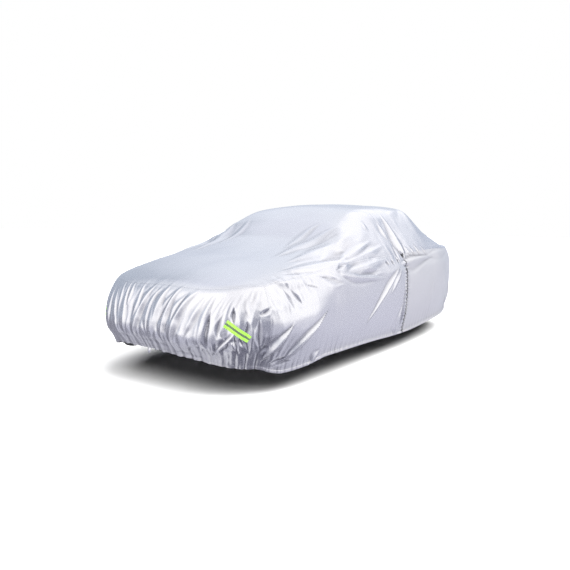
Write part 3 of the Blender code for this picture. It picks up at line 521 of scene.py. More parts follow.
def skirt_grid(rim, drops):
    """Rows of points from the shoulder seam down to the hem, below a closed loop of rim points."""
    run = np.roll(rim, -1, 0)[:, :2] - np.roll(rim, 1, 0)[:, :2]
    run /= np.linalg.norm(run, axis=1)[:, None]
    out = np.stack([run[:, 1], -run[:, 0]], -1)
    front = np.clip(-out[:, 1], 0, 1) ** 2
    rear = np.clip(out[:, 1], 0, 1) ** 2
    side = 1 - front - rear
    hem = side * curve(rim[:, 1], SIDE_HEM[:, 0], SIDE_HEM[:, 1])
    hem += front * curve(rim[:, 0], FRONT_HEM[:, 0], FRONT_HEM[:, 1])
    hem += rear * curve(rim[:, 0], REAR_HEM[:, 0], REAR_HEM[:, 1])
    wing = side * smooth_step(-rim[:, 1], *WING_ZONE)
    shares = (("side", side - wing), ("wing", wing), ("front", front), ("rear", rear))
    rows = []
    for drop in drops:
        stand = sum(
            share * read(SKIRT_PROFILE, SKIRT_COLUMNS, name, drop) for name, share in shares
        )
        height = rim[:, 2] * (1 - drop) + hem * drop
        rows.append(np.column_stack([rim[:, :2] + out * stand[:, None], height]))
    return np.array(rows)


# ---------------------------------------------------------------- folds, gathers and crumples
def lattice_noise(points, size, seed):
    """Smooth noise from -1 to 1 whose lumps are about size across."""
    p = points / size
    low = np.floor(p).astype(np.int64)
    t = p - low
    t = t * t * t * (t * (6 * t - 15) + 10)
    made = np.zeros(len(p))
    for corner in range(8):
        bit = np.array([corner & 1, corner >> 1 & 1, corner >> 2 & 1])
        n = low + bit
        mixed = n[:, 0] * 73856093 ^ n[:, 1] * 19349663 ^ n[:, 2] * 83492791 ^ seed * 2654435
        mixed = (mixed ^ (mixed >> 13)) * 1274126177 & 0x7FFFFFFF
        mixed = (mixed ^ (mixed >> 15)) * 668265263 & 0x7FFFFFFF
        value = (mixed % 65536) / 32767.5 - 1
        made += value * np.prod(np.where(bit, t, 1 - t), axis=1)
    return made


def fold_rise(points, row):
    """Height of one fold at points of its flat view."""
    first, middle, last = row[0:2], row[2:4], row[4:6]
    half, rise, lean, taper, peak = row[6:11]
    handle = 2 * middle - (first + last) / 2
    t = np.linspace(0, 1, 13)[:, None]
    line = (1 - t) ** 2 * first + 2 * t * (1 - t) * handle + t * t * last
    reach = FOLD_REACH * half * (1 + abs(taper) / 2) / (1 - abs(lean))
    near = np.all((points > line.min(0) - reach) & (points < line.max(0) + reach), axis=1)
    made = np.zeros(len(points))
    if not near.any():
        return made
    p = points[near][:, None, :]
    a, run = line[None, :-1], np.diff(line, axis=0)[None]
    t = np.clip(((p - a) * run).sum(-1) / (run ** 2).sum(-1), 0, 1)
    gap = p - a - run * t[..., None]
    away = np.linalg.norm(gap, axis=-1)
    best = away.argmin(1)
    pick = np.arange(len(best))
    side = np.sign(run[0, best, 0] * gap[pick, best, 1] - run[0, best, 1] * gap[pick, best, 0])
    along = (best + t[pick, best]) / (len(line) - 1)
    start = smooth_step(along, 0, max(peak, 1e-6))
    end = smooth_step(1 - along, 0, max(1 - peak, 1e-6))
    width = half * (1 + taper * (along - 0.5)) * (POINT_SHARE + (1 - POINT_SHARE) * start * end)
    q = away[pick, best] * (1 + lean * side) / width
    crest = np.exp(-CREST_FALL * (np.hypot(q, CREST_SOFTNESS) - CREST_SOFTNESS))
    crest *= 1 - smooth_step(q, 0.6 * FOLD_REACH, FOLD_REACH)
    trough = TROUGH_SHARE * np.exp(-((q - TROUGH_PLACE) / TROUGH_HALF) ** 2)
    made[near] = rise * np.sqrt(start * end) * (crest - trough)
    return made


def pleat_rows(table, heights, peak):
    """Fold rows for a table of pleats that hang between three heights."""
    rows = np.zeros((len(table), len(FOLD_COLUMNS)))
    for k, height in enumerate(heights):
        rows[:, 2 * k] = table[:, k]
        rows[:, 2 * k + 1] = height
    rows[:, 6:9] = table[:, 3:6]
    rows[:, 10] = peak
    return rows


def main_folds(points):
    """How far the folds lift the cloth off its plain shape at each point."""
    x, y, z = points.T
    lift = np.zeros(len(points))
    side_view, top_view, front_view = points[:, 1:3], points[:, :2], points[:, ::2]
    steep = smooth_step(np.abs(x), *SIDE_ZONE)
    away = side_view - (FAR_SIDE_SHIFT, 0)
    for row in SIDE_FOLDS:
        lift += steep * (x > 0) * fold_rise(side_view, row)
        lift += steep * (x < 0) * fold_rise(away, row) * FAR_SIDE_SHARE
    top = smooth_step(z, *TOP_ZONE)
    away = top_view * (-1, 1) - (0, FAR_SIDE_SHIFT)
    for row in TOP_FOLDS:
        lift += top * fold_rise(top_view, row)
        lift += top * fold_rise(away, row) * FAR_SIDE_SHARE
    ahead = smooth_step(-y, *FRONT_ZONE)
    for row in (*FRONT_FOLDS, *NOSE_CREASES):
        lift += ahead * fold_rise(front_view, row)
    behind = smooth_step(y, *REAR_ZONE)
    for row in pleat_rows(REAR_PLEATS, REAR_HEIGHTS, 0.6):
        lift += behind * fold_rise(front_view, row)
    for side, station, height, along, upright, rise in BULGES:
        gap = ((x - side) / upright) ** 2 + ((y - station) / along) ** 2
        lift += rise * np.exp(-gap - ((z - height) / upright) ** 2)
    return lift


def slackness(points):
    """How slack the cloth is, from 0 on a taut panel to 1 round corners and side pockets."""
    x, y, z = points.T
    side = np.abs(x)
    across, along, radius = SLACK_CORNER
    slack = np.exp(-((side - across) ** 2 + (np.abs(y) - along) ** 2) / radius ** 2)
    slack += smooth_step(-y, 1.85, 2.05) * smooth_step(-z, -0.80, -0.45)
    slack += SLACK_TAIL * smooth_step(y, 1.90, 2.10)
    for across, station, height, radius in SLACK_SPOTS:
        away = (side - across) ** 2 + (y - station) ** 2 + (z - height) ** 2
        slack += np.exp(-away / radius ** 2)
    return np.clip(slack, 0, 1)


def crumple(points):
    """Uneven lie of the cloth: broad undulations everywhere, small creases where it is slack."""
    slack = slackness(points)
    lift = np.zeros(len(points))
    for number, (size, on_slack, on_taut) in enumerate(CRUMPLES):
        height = on_taut + (on_slack - on_taut) * slack
        warp = lattice_noise(points, size * 2.1, 40 + number) * size * 0.5
        lift += height * lattice_noise(points + warp[:, None], size, 11 + number)
    return lift


def streaks(points, run, direction, pitch, stretch, seed):
    """Long narrow creases, uneven in width and height, along one direction of a flat view."""
    warp = 0.35 * pitch * lattice_noise(points, 2.6 * pitch * stretch ** 0.5, seed + 3)
    place = np.column_stack([(run + warp) / pitch, direction / (pitch * stretch), 0 * run])
    soft = lattice_noise(place, 1.0, seed)
    sharp = 1 - 2 * np.abs(lattice_noise(place * (0.8, 1.0, 1.0) + 7.3, 1.0, seed + 1)) ** 0.8
    return 0.55 * soft + 0.45 * sharp


def polar(u, v, centre):
    """Angle and distance about a centre of a flat view."""
    u, v = u - centre[0], v - centre[1]
    return np.arctan2(v, u), np.hypot(u, v)


def pulled(points):
    """Fans of fine creases, where nose, side pockets and the roof's corners pull the cloth."""
    x, y, z = points.T
    side = np.abs(x)
    shifted = y - np.where(x < 0, FAR_SIDE_SHIFT, 0)
    share = np.where(x < 0, FAR_SIDE_SHARE, 1.0)
    lift = np.zeros(len(points))

    nose = smooth_step(-y, 1.90, 2.08)
    low = smooth_step(-z, -0.62, -0.42)
    lift += nose * (0.0006 + 0.0042 * low) * streaks(points, x, z, 0.042, 5.0, 21)
    lift += nose * low * 0.0020 * streaks(points, x, z, 0.022, 4.0, 23)

    views = {"side": (shifted, z, side), "top": (shifted, side, z), "ahead": (-shifted, z, side)}
    for fan in FANS:
        u, v, beside = views[fan["view"]]
        angle, reach = polar(u, v, fan["centre"])
        part = smooth_step(beside, *fan["zone"]) * window(reach, *fan["reach"])
        part *= window(angle, *fan["angle"]) * (reach if fan["grows"] else 1.0) * fan["rise"]
        turn, pitch, stretch, seed = (fan[key] for key in ("turn", "pitch", "stretch", "seed"))
        lift += share * part * streaks(points, angle * turn, reach, pitch, stretch, seed)

    pillar = smooth_step(side, 0.50, 0.60) * window(shifted, -0.16, 0.0, 0.40, 0.62)
    pillar *= window(z, 0.86, 0.95, 1.28, 1.40)
    lean = shifted - 0.25 * (1.3 - z)
    lift += share * pillar * 0.0024 * streaks(points, lean, z, 0.048, 5.0, 51)
    wing = smooth_step(-shifted, 1.36, 1.50) * smooth_step(shifted, -2.02, -1.86)
    wing *= smooth_step(z, 0.56, 0.66) * smooth_step(side, 0.62, 0.72)
    lift += share * wing * 0.0030 * streaks(points, shifted + 0.2 * z, z, 0.030, 3.5, 61)
    return lift


def gather(points, round_loop, hem, share):
    """Ripples that the hem's elastic draws up, running together further from the hem."""
    x, y, z = points.T
    nose = smooth_step(-y, 1.80, 2.05)
    lift = np.zeros(len(points))
    place = np.column_stack([round_loop, hem * 0.5, 0 * hem])
    run = np.column_stack([round_loop, 0 * hem, 0 * hem])
    for number, (pitch, reach, rise, more) in enumerate(GATHERS):
        drift = lattice_noise(place, 3.1 * pitch, 70 + number)
        strength = lattice_noise(run, 5.3 * pitch, 90 + number)
        wave = np.cos(2 * np.pi * round_loop / pitch + 2.6 * drift)
        ridge = 1.2 * np.sqrt(0.5 + 0.5 * wave + 0.02) - 0.76
        height = rise * (1 + (more - 1) * nose) * (0.75 + 0.45 * strength) * share
        lift += height * ridge * np.exp(-(hem / (reach * (1 + 0.9 * nose))) ** 1.4)
    lift += HEM_FLARE * (1 - 0.7 * nose) * np.exp(-(hem / HEM_FLARE_REACH) ** 2)
    return lift


# ---------------------------------------------------------------- the cover's grids of points
def grid_normals(grid, closed):
    """Outward direction at each point of a grid; closed says that its last column meets its first."""
    if closed:
        wide = np.concatenate([grid[:, -2:], grid, grid[:, :2]], axis=1)
        down, on = np.gradient(wide, axis=0)[:, 2:-2], np.gradient(wide, axis=1)[:, 2:-2]
    else:
        down, on = np.gradient(grid, axis=0), np.gradient(grid, axis=1)
    normal = np.cross(down, on)
    return normal / np.maximum(np.linalg.norm(normal, axis=-1), 1e-12)[..., None]


def between(grid, closed=True):
    """The grid with a column added in the middle of each cell, on the curve through its neighbours."""
    before, after = np.roll(grid, 1, 1), np.roll(grid, -1, 1)
    beyond = np.roll(grid, -2, 1)
    middle = (9 * (grid + after) - before - beyond) / 16
    made = np.empty((grid.shape[0], 2 * grid.shape[1]) + grid.shape[2:])
    made[:, ::2] = grid
    made[:, 1::2] = middle
    return made


@functools.lru_cache(maxsize=2)
def cover_form(cells_across, cells_along, cells_down, fold_share, gather_share, crumple_share):
    """Grids of the folded cover, canopy and skirts: points, normals and seam distances."""
    t = np.linspace(-1, 1, 1601)
    across = even_steps(canopy_point(t, 0.12), t, cells_across)
    along = even_steps(canopy_point(0.72, t), t, cells_along)
    tapes = np.array([station_to_along(ZIP_STATION + s * ZIP_HALF) for s in (-1, 0, 1)])
    first = int(np.abs(along - tapes[0]).argmin())
    last = max(first + 2, int(np.abs(along - tapes[2]).argmin()))
    head = even_steps(canopy_point(0.72, t[t < tapes[0]]), t[t < tapes[0]], first)
    tail = even_steps(canopy_point(0.72, t[t > tapes[2]]), t[t > tapes[2]], cells_along - last)
    head[-1], tail[0] = tapes[0], tapes[2]
    zip_cells = np.linspace(tapes[0], tapes[2], last - first + 1)
    along = np.concatenate([head, zip_cells[1:-1], tail])
    canopy = canopy_point(across[:, None], along[None, :])

    rim = loop_of(canopy)
    marks = np.cumsum([0, cells_across, cells_along, cells_across, cells_along])
    drops = np.concatenate([np.linspace(0, 0.955, cells_down - 5), np.linspace(0.964, 1, 5)])
    skirts = skirt_grid(rim, drops)
    canopy, skirts = settle_shoulder(canopy, skirts)

    canopy_out = grid_normals(canopy, closed=False)
    skirt_out = grid_normals(skirts, closed=True)
    rim_out = loop_of(canopy_out) + skirt_out[0]
    rim_out /= np.linalg.norm(rim_out, axis=1)[:, None]
    skirt_out[0] = rim_out
    set_loop(canopy_out, rim_out)

    skirts, skirt_out = between(skirts), between(skirt_out)
    marks = marks * 2
    round_loop = lengths_along(skirts[len(drops) // 2])
    hem = lengths_down(skirts[::-1])[::-1]
    seam = lengths_down(skirts)

    def lifted(grid):
        flat = grid.reshape(-1, 3)
        return fold_share * main_folds(flat) + crumple_share * (crumple(flat) + pulled(flat))

    ring = np.broadcast_to(round_loop, hem.shape)
    lift = lifted(skirts) + gather(skirts.reshape(-1, 3), ring.ravel(), hem.ravel(), gather_share)
    skirts = skirts + skirt_out * lift.reshape(hem.shape)[..., None]
    canopy = canopy + canopy_out * lifted(canopy).reshape(canopy.shape[:2])[..., None]
    set_loop(canopy, skirts[0, ::2])

    zip_at = (int(marks[1]) + 2 * first, int(marks[1]) + 2 * last)
    skirts = pucker_zip(skirts, zip_at, seam)
    return dict(
        canopy=canopy, canopy_out=grid_normals(canopy, False),
        skirts=skirts, skirts_out=grid_normals(skirts, True),
        marks=marks, zip_at=zip_at, round=round_loop, hem=hem, seam=seam,
    )


def loop_of(grid):
    """The border of a grid as a closed loop: on the canopy, nose, left side, tail, right side."""
    return np.concatenate([grid[:-1, 0], grid[-1, :-1], grid[:0:-1, -1], grid[0, :0:-1]])


def set_loop(grid, loop):
    """Writes a closed loop back to the border of the canopy's grid."""
    rows, cols = grid.shape[0] - 1, grid.shape[1] - 1
    grid[:-1, 0] = loop[:rows]
    grid[-1, :-1] = loop[rows:rows + cols]
    grid[:0:-1, -1] = loop[rows + cols:2 * rows + cols]
    grid[0, :0:-1] = loop[2 * rows + cols:]


def settle_shoulder(canopy, skirts, rounds=26, reach=0.08, reach_inside=0.045):
    """Rounds the cloth over the shoulder seam, where canopy and skirts meet."""
    rows, cols = canopy.shape[:2]
    number = np.arange(rows * cols).reshape(rows, cols)
    below = np.arange((len(skirts) - 1) * skirts.shape[1]).reshape(len(skirts) - 1, -1) + rows * cols
    net = np.vstack([loop_of(number), below])
    points = np.vstack([canopy.reshape(-1, 3), skirts[1:].reshape(-1, 3)])
    edges = np.vstack([
        np.column_stack([number[:-1].ravel(), number[1:].ravel()]),
        np.column_stack([number[:, :-1].ravel(), number[:, 1:].ravel()]),
        np.column_stack([net[:-1].ravel(), net[1:].ravel()]),
        np.column_stack([below.ravel(), np.roll(below, -1, 1).ravel()]),
    ])
    i = np.minimum(np.arange(rows), rows - 1 - np.arange(rows))
    j = np.minimum(np.arange(cols), cols - 1 - np.arange(cols))
    pitch_i = np.linalg.norm(np.diff(canopy[:, cols // 2], axis=0), axis=1).mean()
    pitch_j = np.linalg.norm(np.diff(canopy[rows // 2], axis=0), axis=1).mean()
    inside = np.minimum(i[:, None] * pitch_i, j[None, :] * pitch_j)
    hang = lengths_down(skirts)[1:]
    away = np.concatenate([inside.ravel() / reach_inside, hang.ravel() / reach])
    weight = np.exp(-away ** 2)[:, None] * 0.9
    weight[rows * cols:][hang.ravel() > 2.2 * reach] = 0
    count = np.bincount(edges.ravel(), minlength=len(points))[:, None]
    for _ in range(rounds):
        total = np.column_stack([
            np.bincount(edges[:, 0], points[edges[:, 1], c], len(points))
            + np.bincount(edges[:, 1], points[edges[:, 0], c], len(points))
            for c in range(3)
        ])
        points = points + weight * (total / count - points)
    canopy = points[:rows * cols].reshape(canopy.shape)
    hung = points[rows * cols:].reshape(skirts[1:].shape)
    return canopy, np.concatenate([loop_of(canopy)[None], hung])


def lengths_along(line):
    """Distance along a line of points to each of them."""
    step = np.linalg.norm(np.diff(line, axis=0), axis=1)
    return np.concatenate([[0], np.cumsum(step)])


def lengths_down(grid):
    """Distance down each column of a grid to each of its points."""
    step = np.linalg.norm(np.diff(grid, axis=0), axis=-1)
    return np.concatenate([np.zeros((1, grid.shape[1])), np.cumsum(step, axis=0)])


def pucker_zip(skirts, zip_at, seam):
    """Draws the cloth beside the zip into small puckers; above the slider its edges close up."""
    made = skirts.copy()
    first, last = zip_at
    column = np.arange(skirts.shape[1])
    hand = np.where(column <= first, 1.0, np.where(column >= last, -1.0, 0.0))[None]
    station = made[..., 1]
    away = np.where(hand > 0, station[:, [first]] - station, station - station[:, [last]])
    near = np.exp(-(np.maximum(away, 0) / PUCKER_REACH) ** 1.3) * (np.abs(column - first) < 80)
    wave = 0.5 + 0.5 * np.cos(2 * np.pi * seam / ZIP_PUCKER + 0.9 * np.sin(seam * 23))
    closed = 1 - smooth_step(seam, FLAP_LENGTH - 0.02, FLAP_LENGTH + 0.02)
    lap = closed * (ZIP_HALF - 0.0001) + (1 - closed) * wave * PUCKER_LAP
    made[..., 1] += hand * lap * near
    out = grid_normals(skirts, True)
    rise = near * (1 - closed) * (PUCKER_RISE * (2 * wave - 1) + PUCKER_STAND) * np.abs(hand)
    return made + out * rise[..., None]


# ---------------------------------------------------------------- meshes
def two_skins(outer, normals, thickness):
    """Points and quads of a closed sheet: outer skin, inner skin and the cut edges between them."""
    rows, cols = outer.shape[:2]
    number = np.arange(rows * cols).reshape(rows, cols)
    a, b, c, d = number[:-1, :-1], number[1:, :-1], number[1:, 1:], number[:-1, 1:]
    skin = np.stack([a, b, c, d], -1).reshape(-1, 4)
    count = rows * cols
    ring = loop_of(number)
    on = np.roll(ring, -1)
    walls = np.column_stack([on, ring, ring + count, on + count])
    points = np.vstack([outer.reshape(-1, 3), (outer - normals * thickness).reshape(-1, 3)])
    return points, np.vstack([skin, skin[:, ::-1] + count, walls])


def new_piece(name, points, faces, look, replaces=()):
    """A piece of the cover, given in heights above the ground, that rides on the one body."""
    mesh = bpy.data.meshes.new(name)
    places = (np.asarray(points) - (0, 0, ROOF_HEIGHT)).tolist()
    mesh.from_pydata(places, [], [list(map(int, face)) for face in faces])
    mesh.validate()
    mesh.materials.append(look)
    mesh.shade_smooth()
    piece = bpy.data.objects.new(name, mesh)
    bpy.context.scene.collection.objects.link(piece)
    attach(piece, "root")
    if replaces:
        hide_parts(*replaces)
    return piece


def write_attribute(piece, name, values):
    """Stores three numbers at each point: places on the cloth for the weave and the stitching, and
    crease depths for the painted shade.
    """
    made = piece.data.attributes.new(name, "FLOAT_VECTOR", "POINT")
    made.data.foreach_set("vector", np.ascontiguousarray(values, dtype=np.float32).ravel())


def hollows(grid, normals):
    """How deep each point of a grid lies in a narrow crease, from 0 on open cloth to 1; the cloth's
    material paints shade into its colour by this depth.
    """
    depth = np.zeros(grid.shape[:2])
    for step in (1, 2, 3):
        rim = ((step, step), (step, step), (0, 0))
        wide = np.pad(grid, rim, mode="reflect", reflect_type="odd")
        mid = slice(step, -step)
        for one, other in ((wide[mid, 2 * step:], wide[mid, :-2 * step]),
                           (wide[2 * step:, mid], wide[:-2 * step, mid])):
            sag = (((one + other) / 2 - grid) * normals).sum(-1)
            depth += sag / np.linalg.norm(one - other, axis=-1)
    return np.clip(depth / CREASE_SHARP, 0, 1)


def sheet_piece(name, outer, normals, cloth_place, edge_place, look, replaces, thickness):
    """A sewn sheet of cloth from its grid, with its place on the cloth and distances to its edges."""
    points, faces = two_skins(outer, normals, thickness)
    piece = new_piece(name, points, faces, look, replaces)
    for attribute, values in (("cloth_place", cloth_place), ("edge_place", edge_place)):
        flat = values.reshape(-1, 3)
        write_attribute(piece, attribute, np.vstack([flat, flat]))
    # Depth in narrow creases, by which the material paints shade into the cloth's colour; the second
    # number marks the inner side.
    deep = hollows(outer, normals).ravel()
    inner = np.repeat((0.0, 1.0), len(deep))
    write_attribute(piece, "shade_depth_and_lining", np.stack([np.tile(deep, 2), inner, 0 * inner], -1))
    piece.data.set_sharp_from_angle(angle=math.radians(70))
    return piece


# ---------------------------------------------------------------- materials
class Nodes:
    """Short hand for a node tree."""

    def __init__(self, tree):
        self.tree = tree

    def add(self, kind, **settings):
        """A node of one kind, with its properties."""
        node = self.tree.nodes.new(kind)
        for key, value in settings.items():
            setattr(node, key, value)
        return node

    def link(self, source, target):
        """Joins an output to an input, or sets the input where the source is a plain value."""
        if isinstance(source, bpy.types.NodeSocket):
            self.tree.links.new(source, target)
        else:
            target.default_value = source

    def calc(self, operation, a, b=0.0, c=0.0, clamp=False):
        """Result of a Math node."""
        node = self.add("ShaderNodeMath", operation=operation, use_clamp=clamp)
        for value, socket in zip((a, b, c), node.inputs):
            self.link(value, socket)
        return node.outputs[0]

    def vector(self, operation, a, b=(0, 0, 0)):
        """Outputs of a Vector Math node."""
        node = self.add("ShaderNodeVectorMath", operation=operation)
        self.link(a, node.inputs[0])
        self.link(b, node.inputs[1])
        return node.outputs

    def parts(self, vector):
        """The three numbers of a vector."""
        node = self.add("ShaderNodeSeparateXYZ")
        self.link(vector, node.inputs[0])
        return node.outputs

    def place(self, attribute):
        """A place stored on the mesh, and its three numbers."""
        node = self.add("ShaderNodeAttribute", attribute_name=attribute)
        return node.outputs["Vector"], self.parts(node.outputs["Vector"])

    def noise(self, vector, scale, detail=2.0, roughness=0.5):
        """A noise from 0 to 1."""
        node = self.add("ShaderNodeTexNoise")
        settings = {"Vector": vector, "Scale": scale, "Detail": detail, "Roughness": roughness}
        for name, value in settings.items():
            self.link(value, node.inputs[name])
        return node.outputs[0]

    def span(self, value, low, high, to_low=0.0, to_high=1.0, ease="LINEAR"):
        """The value taken from one span to another, kept inside it."""
        node = self.add("ShaderNodeMapRange", interpolation_type=ease)
        for item, socket in zip((value, low, high, to_low, to_high), node.inputs):
            self.link(item, socket)
        return node.outputs[0]

    def wave(self, run, pitch):
        """A sine wave along a run, from -1 to 1."""
        return self.calc("SINE", self.calc("MULTIPLY", run, 2 * math.pi / pitch))

    def ribs(self, run, pitch):
        """The same wave from 0 to 1."""
        return self.calc("MULTIPLY_ADD", self.wave(run, pitch), 0.5, 0.5)

    def blend(self, share, a, b):
        """Mix of two colours."""
        node = self.add("ShaderNodeMix", data_type="RGBA")
        self.link(share, node.inputs[0])
        for item, socket in ((a, node.inputs[6]), (b, node.inputs[7])):
            self.link(item if isinstance(item, bpy.types.NodeSocket) else (*item, 1), socket)
        return node.outputs[2]

    def bump(self, height, distance, strength=1.0, below=None):
        """A bump from a height between 0 and 1, on top of another."""
        node = self.add("ShaderNodeBump")
        self.link(height, node.inputs["Height"])
        self.link(distance, node.inputs["Distance"])
        self.link(strength, node.inputs["Strength"])
        if below is not None:
            self.link(below, node.inputs["Normal"])
        return node.outputs[0]

    def line(self, distance, at, half):
        """1 on a line at a distance from an edge and 0 beside it."""
        gap = self.calc("ABSOLUTE", self.calc("SUBTRACT", distance, at))
        return self.span(gap, half * 0.6, half * 1.4, 1.0, 0.0)

    def stitches(self, distance, at, run, half=0.0009, pitch=0.0042, share=0.68):
        """1 on the stitches of a seam that runs at a distance from an edge."""
        turn = self.calc("FRACT", self.calc("DIVIDE", run, pitch))
        return self.calc("MULTIPLY", self.line(distance, at, half),
                         self.calc("LESS_THAN", turn, share))


class Finish(Nodes):
    """A material and its node tree."""

    def __init__(self, name, colour):
        self.look = bpy.data.materials.new(name)
        self.look.use_nodes = True
        self.look.diffuse_color = (*colour, 1)
        super().__init__(self.look.node_tree)
        self.shader = self.tree.nodes["Principled BSDF"]

    def give(self, **values):
        """Feeds the shader's sockets, written with _ for a space; returns the material."""
        for name, value in values.items():
            self.link(value, self.shader.inputs[name.replace("_", " ")])
        return self.look


def shade(colour, share, more=0.0):
    """A colour made lighter or darker."""
    return [min(1.0, c * share + more) for c in colour]


def cloth_look(name, colour, dust, metallic, roughness):
    """Coated cloth: fine weave, satin coat, stitched hem and seams, a little dust near the hem,
    painted shade in its narrow creases and a matt lining inside.
    """
    n = Finish(name, colour)
    place, (u, v, _) = n.place("cloth_place")
    _, (to_seam, to_hem, to_side) = n.place("edge_place")
    _, (crease, inner, _) = n.place("shade_depth_and_lining")

    broad = n.noise(place, 2.2, detail=3.0)
    fine = n.noise(place, 26.0, detail=3.0)
    tone = n.blend(n.span(broad, 0.35, 0.65), shade(colour, 0.965), colour)
    tone = n.blend(n.span(fine, 0.30, 0.75, 0.0, 0.35), tone, shade(colour, 1.05))
    low = n.span(to_hem, 0.0, 0.16, 1.0, 0.0)
    soil = n.calc("MULTIPLY", n.calc("MULTIPLY", low, low), n.span(broad, 0.3, 0.7, 0.10, 0.42))
    tone = n.blend(soil, tone, dust)

    seams = ((to_hem, HEM_STITCH, u), (to_seam, SEAM_STITCH, u), (to_side, SEAM_STITCH, v))
    hem, top, side = (n.stitches(distance, at, run) for distance, at, run in seams)
    thread = n.calc("MAXIMUM", hem, n.calc("MAXIMUM", top, side))
    tone = n.blend(n.calc("MULTIPLY", thread, 0.55), tone, THREAD)
    # Painted shade: the colour darkens towards a near-black tone at the bottom of narrow creases.
    tone = n.blend(n.calc("MULTIPLY", crease, CREASE_SHADE), tone, PAINTED_SHADE_TONE)
    tone = n.blend(inner, tone, LINING)

    satin = n.span(n.noise(place, 60.0), 0.3, 0.7, roughness - 0.03, roughness + 0.05)
    satin = n.calc("ADD", satin, n.calc("MULTIPLY", soil, 0.25), clamp=True)
    satin = n.calc("MAXIMUM", satin, inner)

    weave = n.calc("MULTIPLY", n.wave(u, WEAVE_PITCH), n.wave(v, WEAVE_PITCH))
    weave = n.calc("MULTIPLY_ADD", weave, 0.5, 0.5)
    tuck = n.calc("MAXIMUM", n.line(to_hem, HEM_STITCH, 0.003), n.line(to_seam, 0.0, 0.003))
    tuck = n.calc("SUBTRACT", 1.0, n.calc("MAXIMUM", tuck, n.line(to_side, 0.0, 0.003)))
    shape = n.bump(n.noise(place, 30.0, detail=1.0, roughness=0.4), 0.0012, 0.08)
    shape = n.bump(tuck, 0.0012, 0.8, shape)
    shape = n.bump(weave, 0.00002, 0.3, shape)
    return n.give(Base_Color=tone, Metallic=n.span(inner, 0.0, 1.0, metallic, 0.0),
                  Roughness=satin, Normal=shape, Coat_Weight=0.12, Coat_Roughness=0.32)


def tape_look(name, colour):
    """Woven zip tape: ribs across it, a little fluff and painted light and shade of the puckers, as
    lighter bands at half their pitch.
    """
    n = Finish(name, colour)
    place, (_, v, _) = n.place("cloth_place")
    rib = n.ribs(v, 0.0018)
    worn = n.noise(place, 40.0, detail=4.0)
    tone = n.blend(n.span(worn, 0.35, 0.7), colour, shade(colour, 1.6))
    tone = n.blend(n.calc("MULTIPLY", rib, 0.25), tone, shade(colour, 0.5))
    # Painted light and shade: paler bands across the tape at half the puckers' pitch stand in for the
    # lit and shaded puckers.
    painted_pucker_light = n.span(n.ribs(v, ZIP_PUCKER / 2), 0.35, 0.65, 0.0, 0.8)
    tone = n.blend(painted_pucker_light, tone, (0.42, 0.42, 0.45))
    return n.give(Base_Color=tone, Roughness=n.span(worn, 0.3, 0.7, 0.62, 0.80),
                  Normal=n.bump(rib, 0.0003, 0.6))


def metal_look(name, colour):
    """Painted zip metal, rubbed bright on its high spots."""
    n = Finish(name, colour)
    rubbed = n.noise(n.add("ShaderNodeTexCoord").outputs["Object"], 420.0, detail=3.0)
    tone = n.blend(n.span(rubbed, 0.45, 0.7), colour, shade(colour, 2.2))
    return n.give(Base_Color=tone, Metallic=0.85, Roughness=n.span(rubbed, 0.3, 0.7, 0.28, 0.48),
                  Normal=n.bump(rubbed, 0.0001, 0.4))


def strip_look(name, lime, line):
    """Reflective tape: two lime bands, a grey line of glass beads between them, stitched edges."""
    n = Finish(name, lime)
    place, (u, v, _) = n.place("cloth_place")
    gap = n.calc("ABSOLUTE", v)
    cells = n.add("ShaderNodeTexVoronoi", feature="DISTANCE_TO_EDGE")
    n.link(place, cells.inputs["Vector"])
    n.link(210.0, cells.inputs["Scale"])
    bead = n.span(cells.outputs["Distance"], 0.02, 0.12)
    worn = n.noise(place, 45.0, detail=3.0)
    tone = n.blend(n.span(bead, 0.0, 1.0, 0.20, 0.0), lime, shade(lime, 0.72))
    tone = n.blend(n.span(worn, 0.35, 0.75, 0.0, 0.22), tone, shade(lime, 1.15, 0.03))
    tone = n.blend(n.span(gap, *STRIP_LINE, 1.0, 0.0), tone, line)
    edge = n.stitches(gap, STRIP_WIDTH / 2, u, half=0.0008, pitch=0.0040, share=0.65)
    tone = n.blend(n.calc("MULTIPLY", edge, 0.6), tone, (0.25, 0.36, 0.10))
    return n.give(Base_Color=tone, Roughness=n.span(worn, 0.3, 0.7, 0.26, 0.42),
                  Normal=n.bump(bead, 0.0002, 0.5), Coat_Weight=0.6, Coat_Roughness=0.25)


def floor_look(colour):
    """Plain pale studio floor."""
    n = Finish("pale_floor", colour)
    cloud = n.noise(n.add("ShaderNodeTexCoord").outputs["Object"], 1.5)
    return n.give(Base_Color=n.blend(cloud, shade(colour, 0.995), colour), Roughness=0.85,
                  Specular_IOR_Level=0.0)


# ---------------------------------------------------------------- settings
def colour_setting(name, description, default):
    """A colour that the user can change."""
    return FloatVectorProperty(name=name, description=description, default=default, size=3,
                               min=0.0, max=1.0, subtype="COLOR")


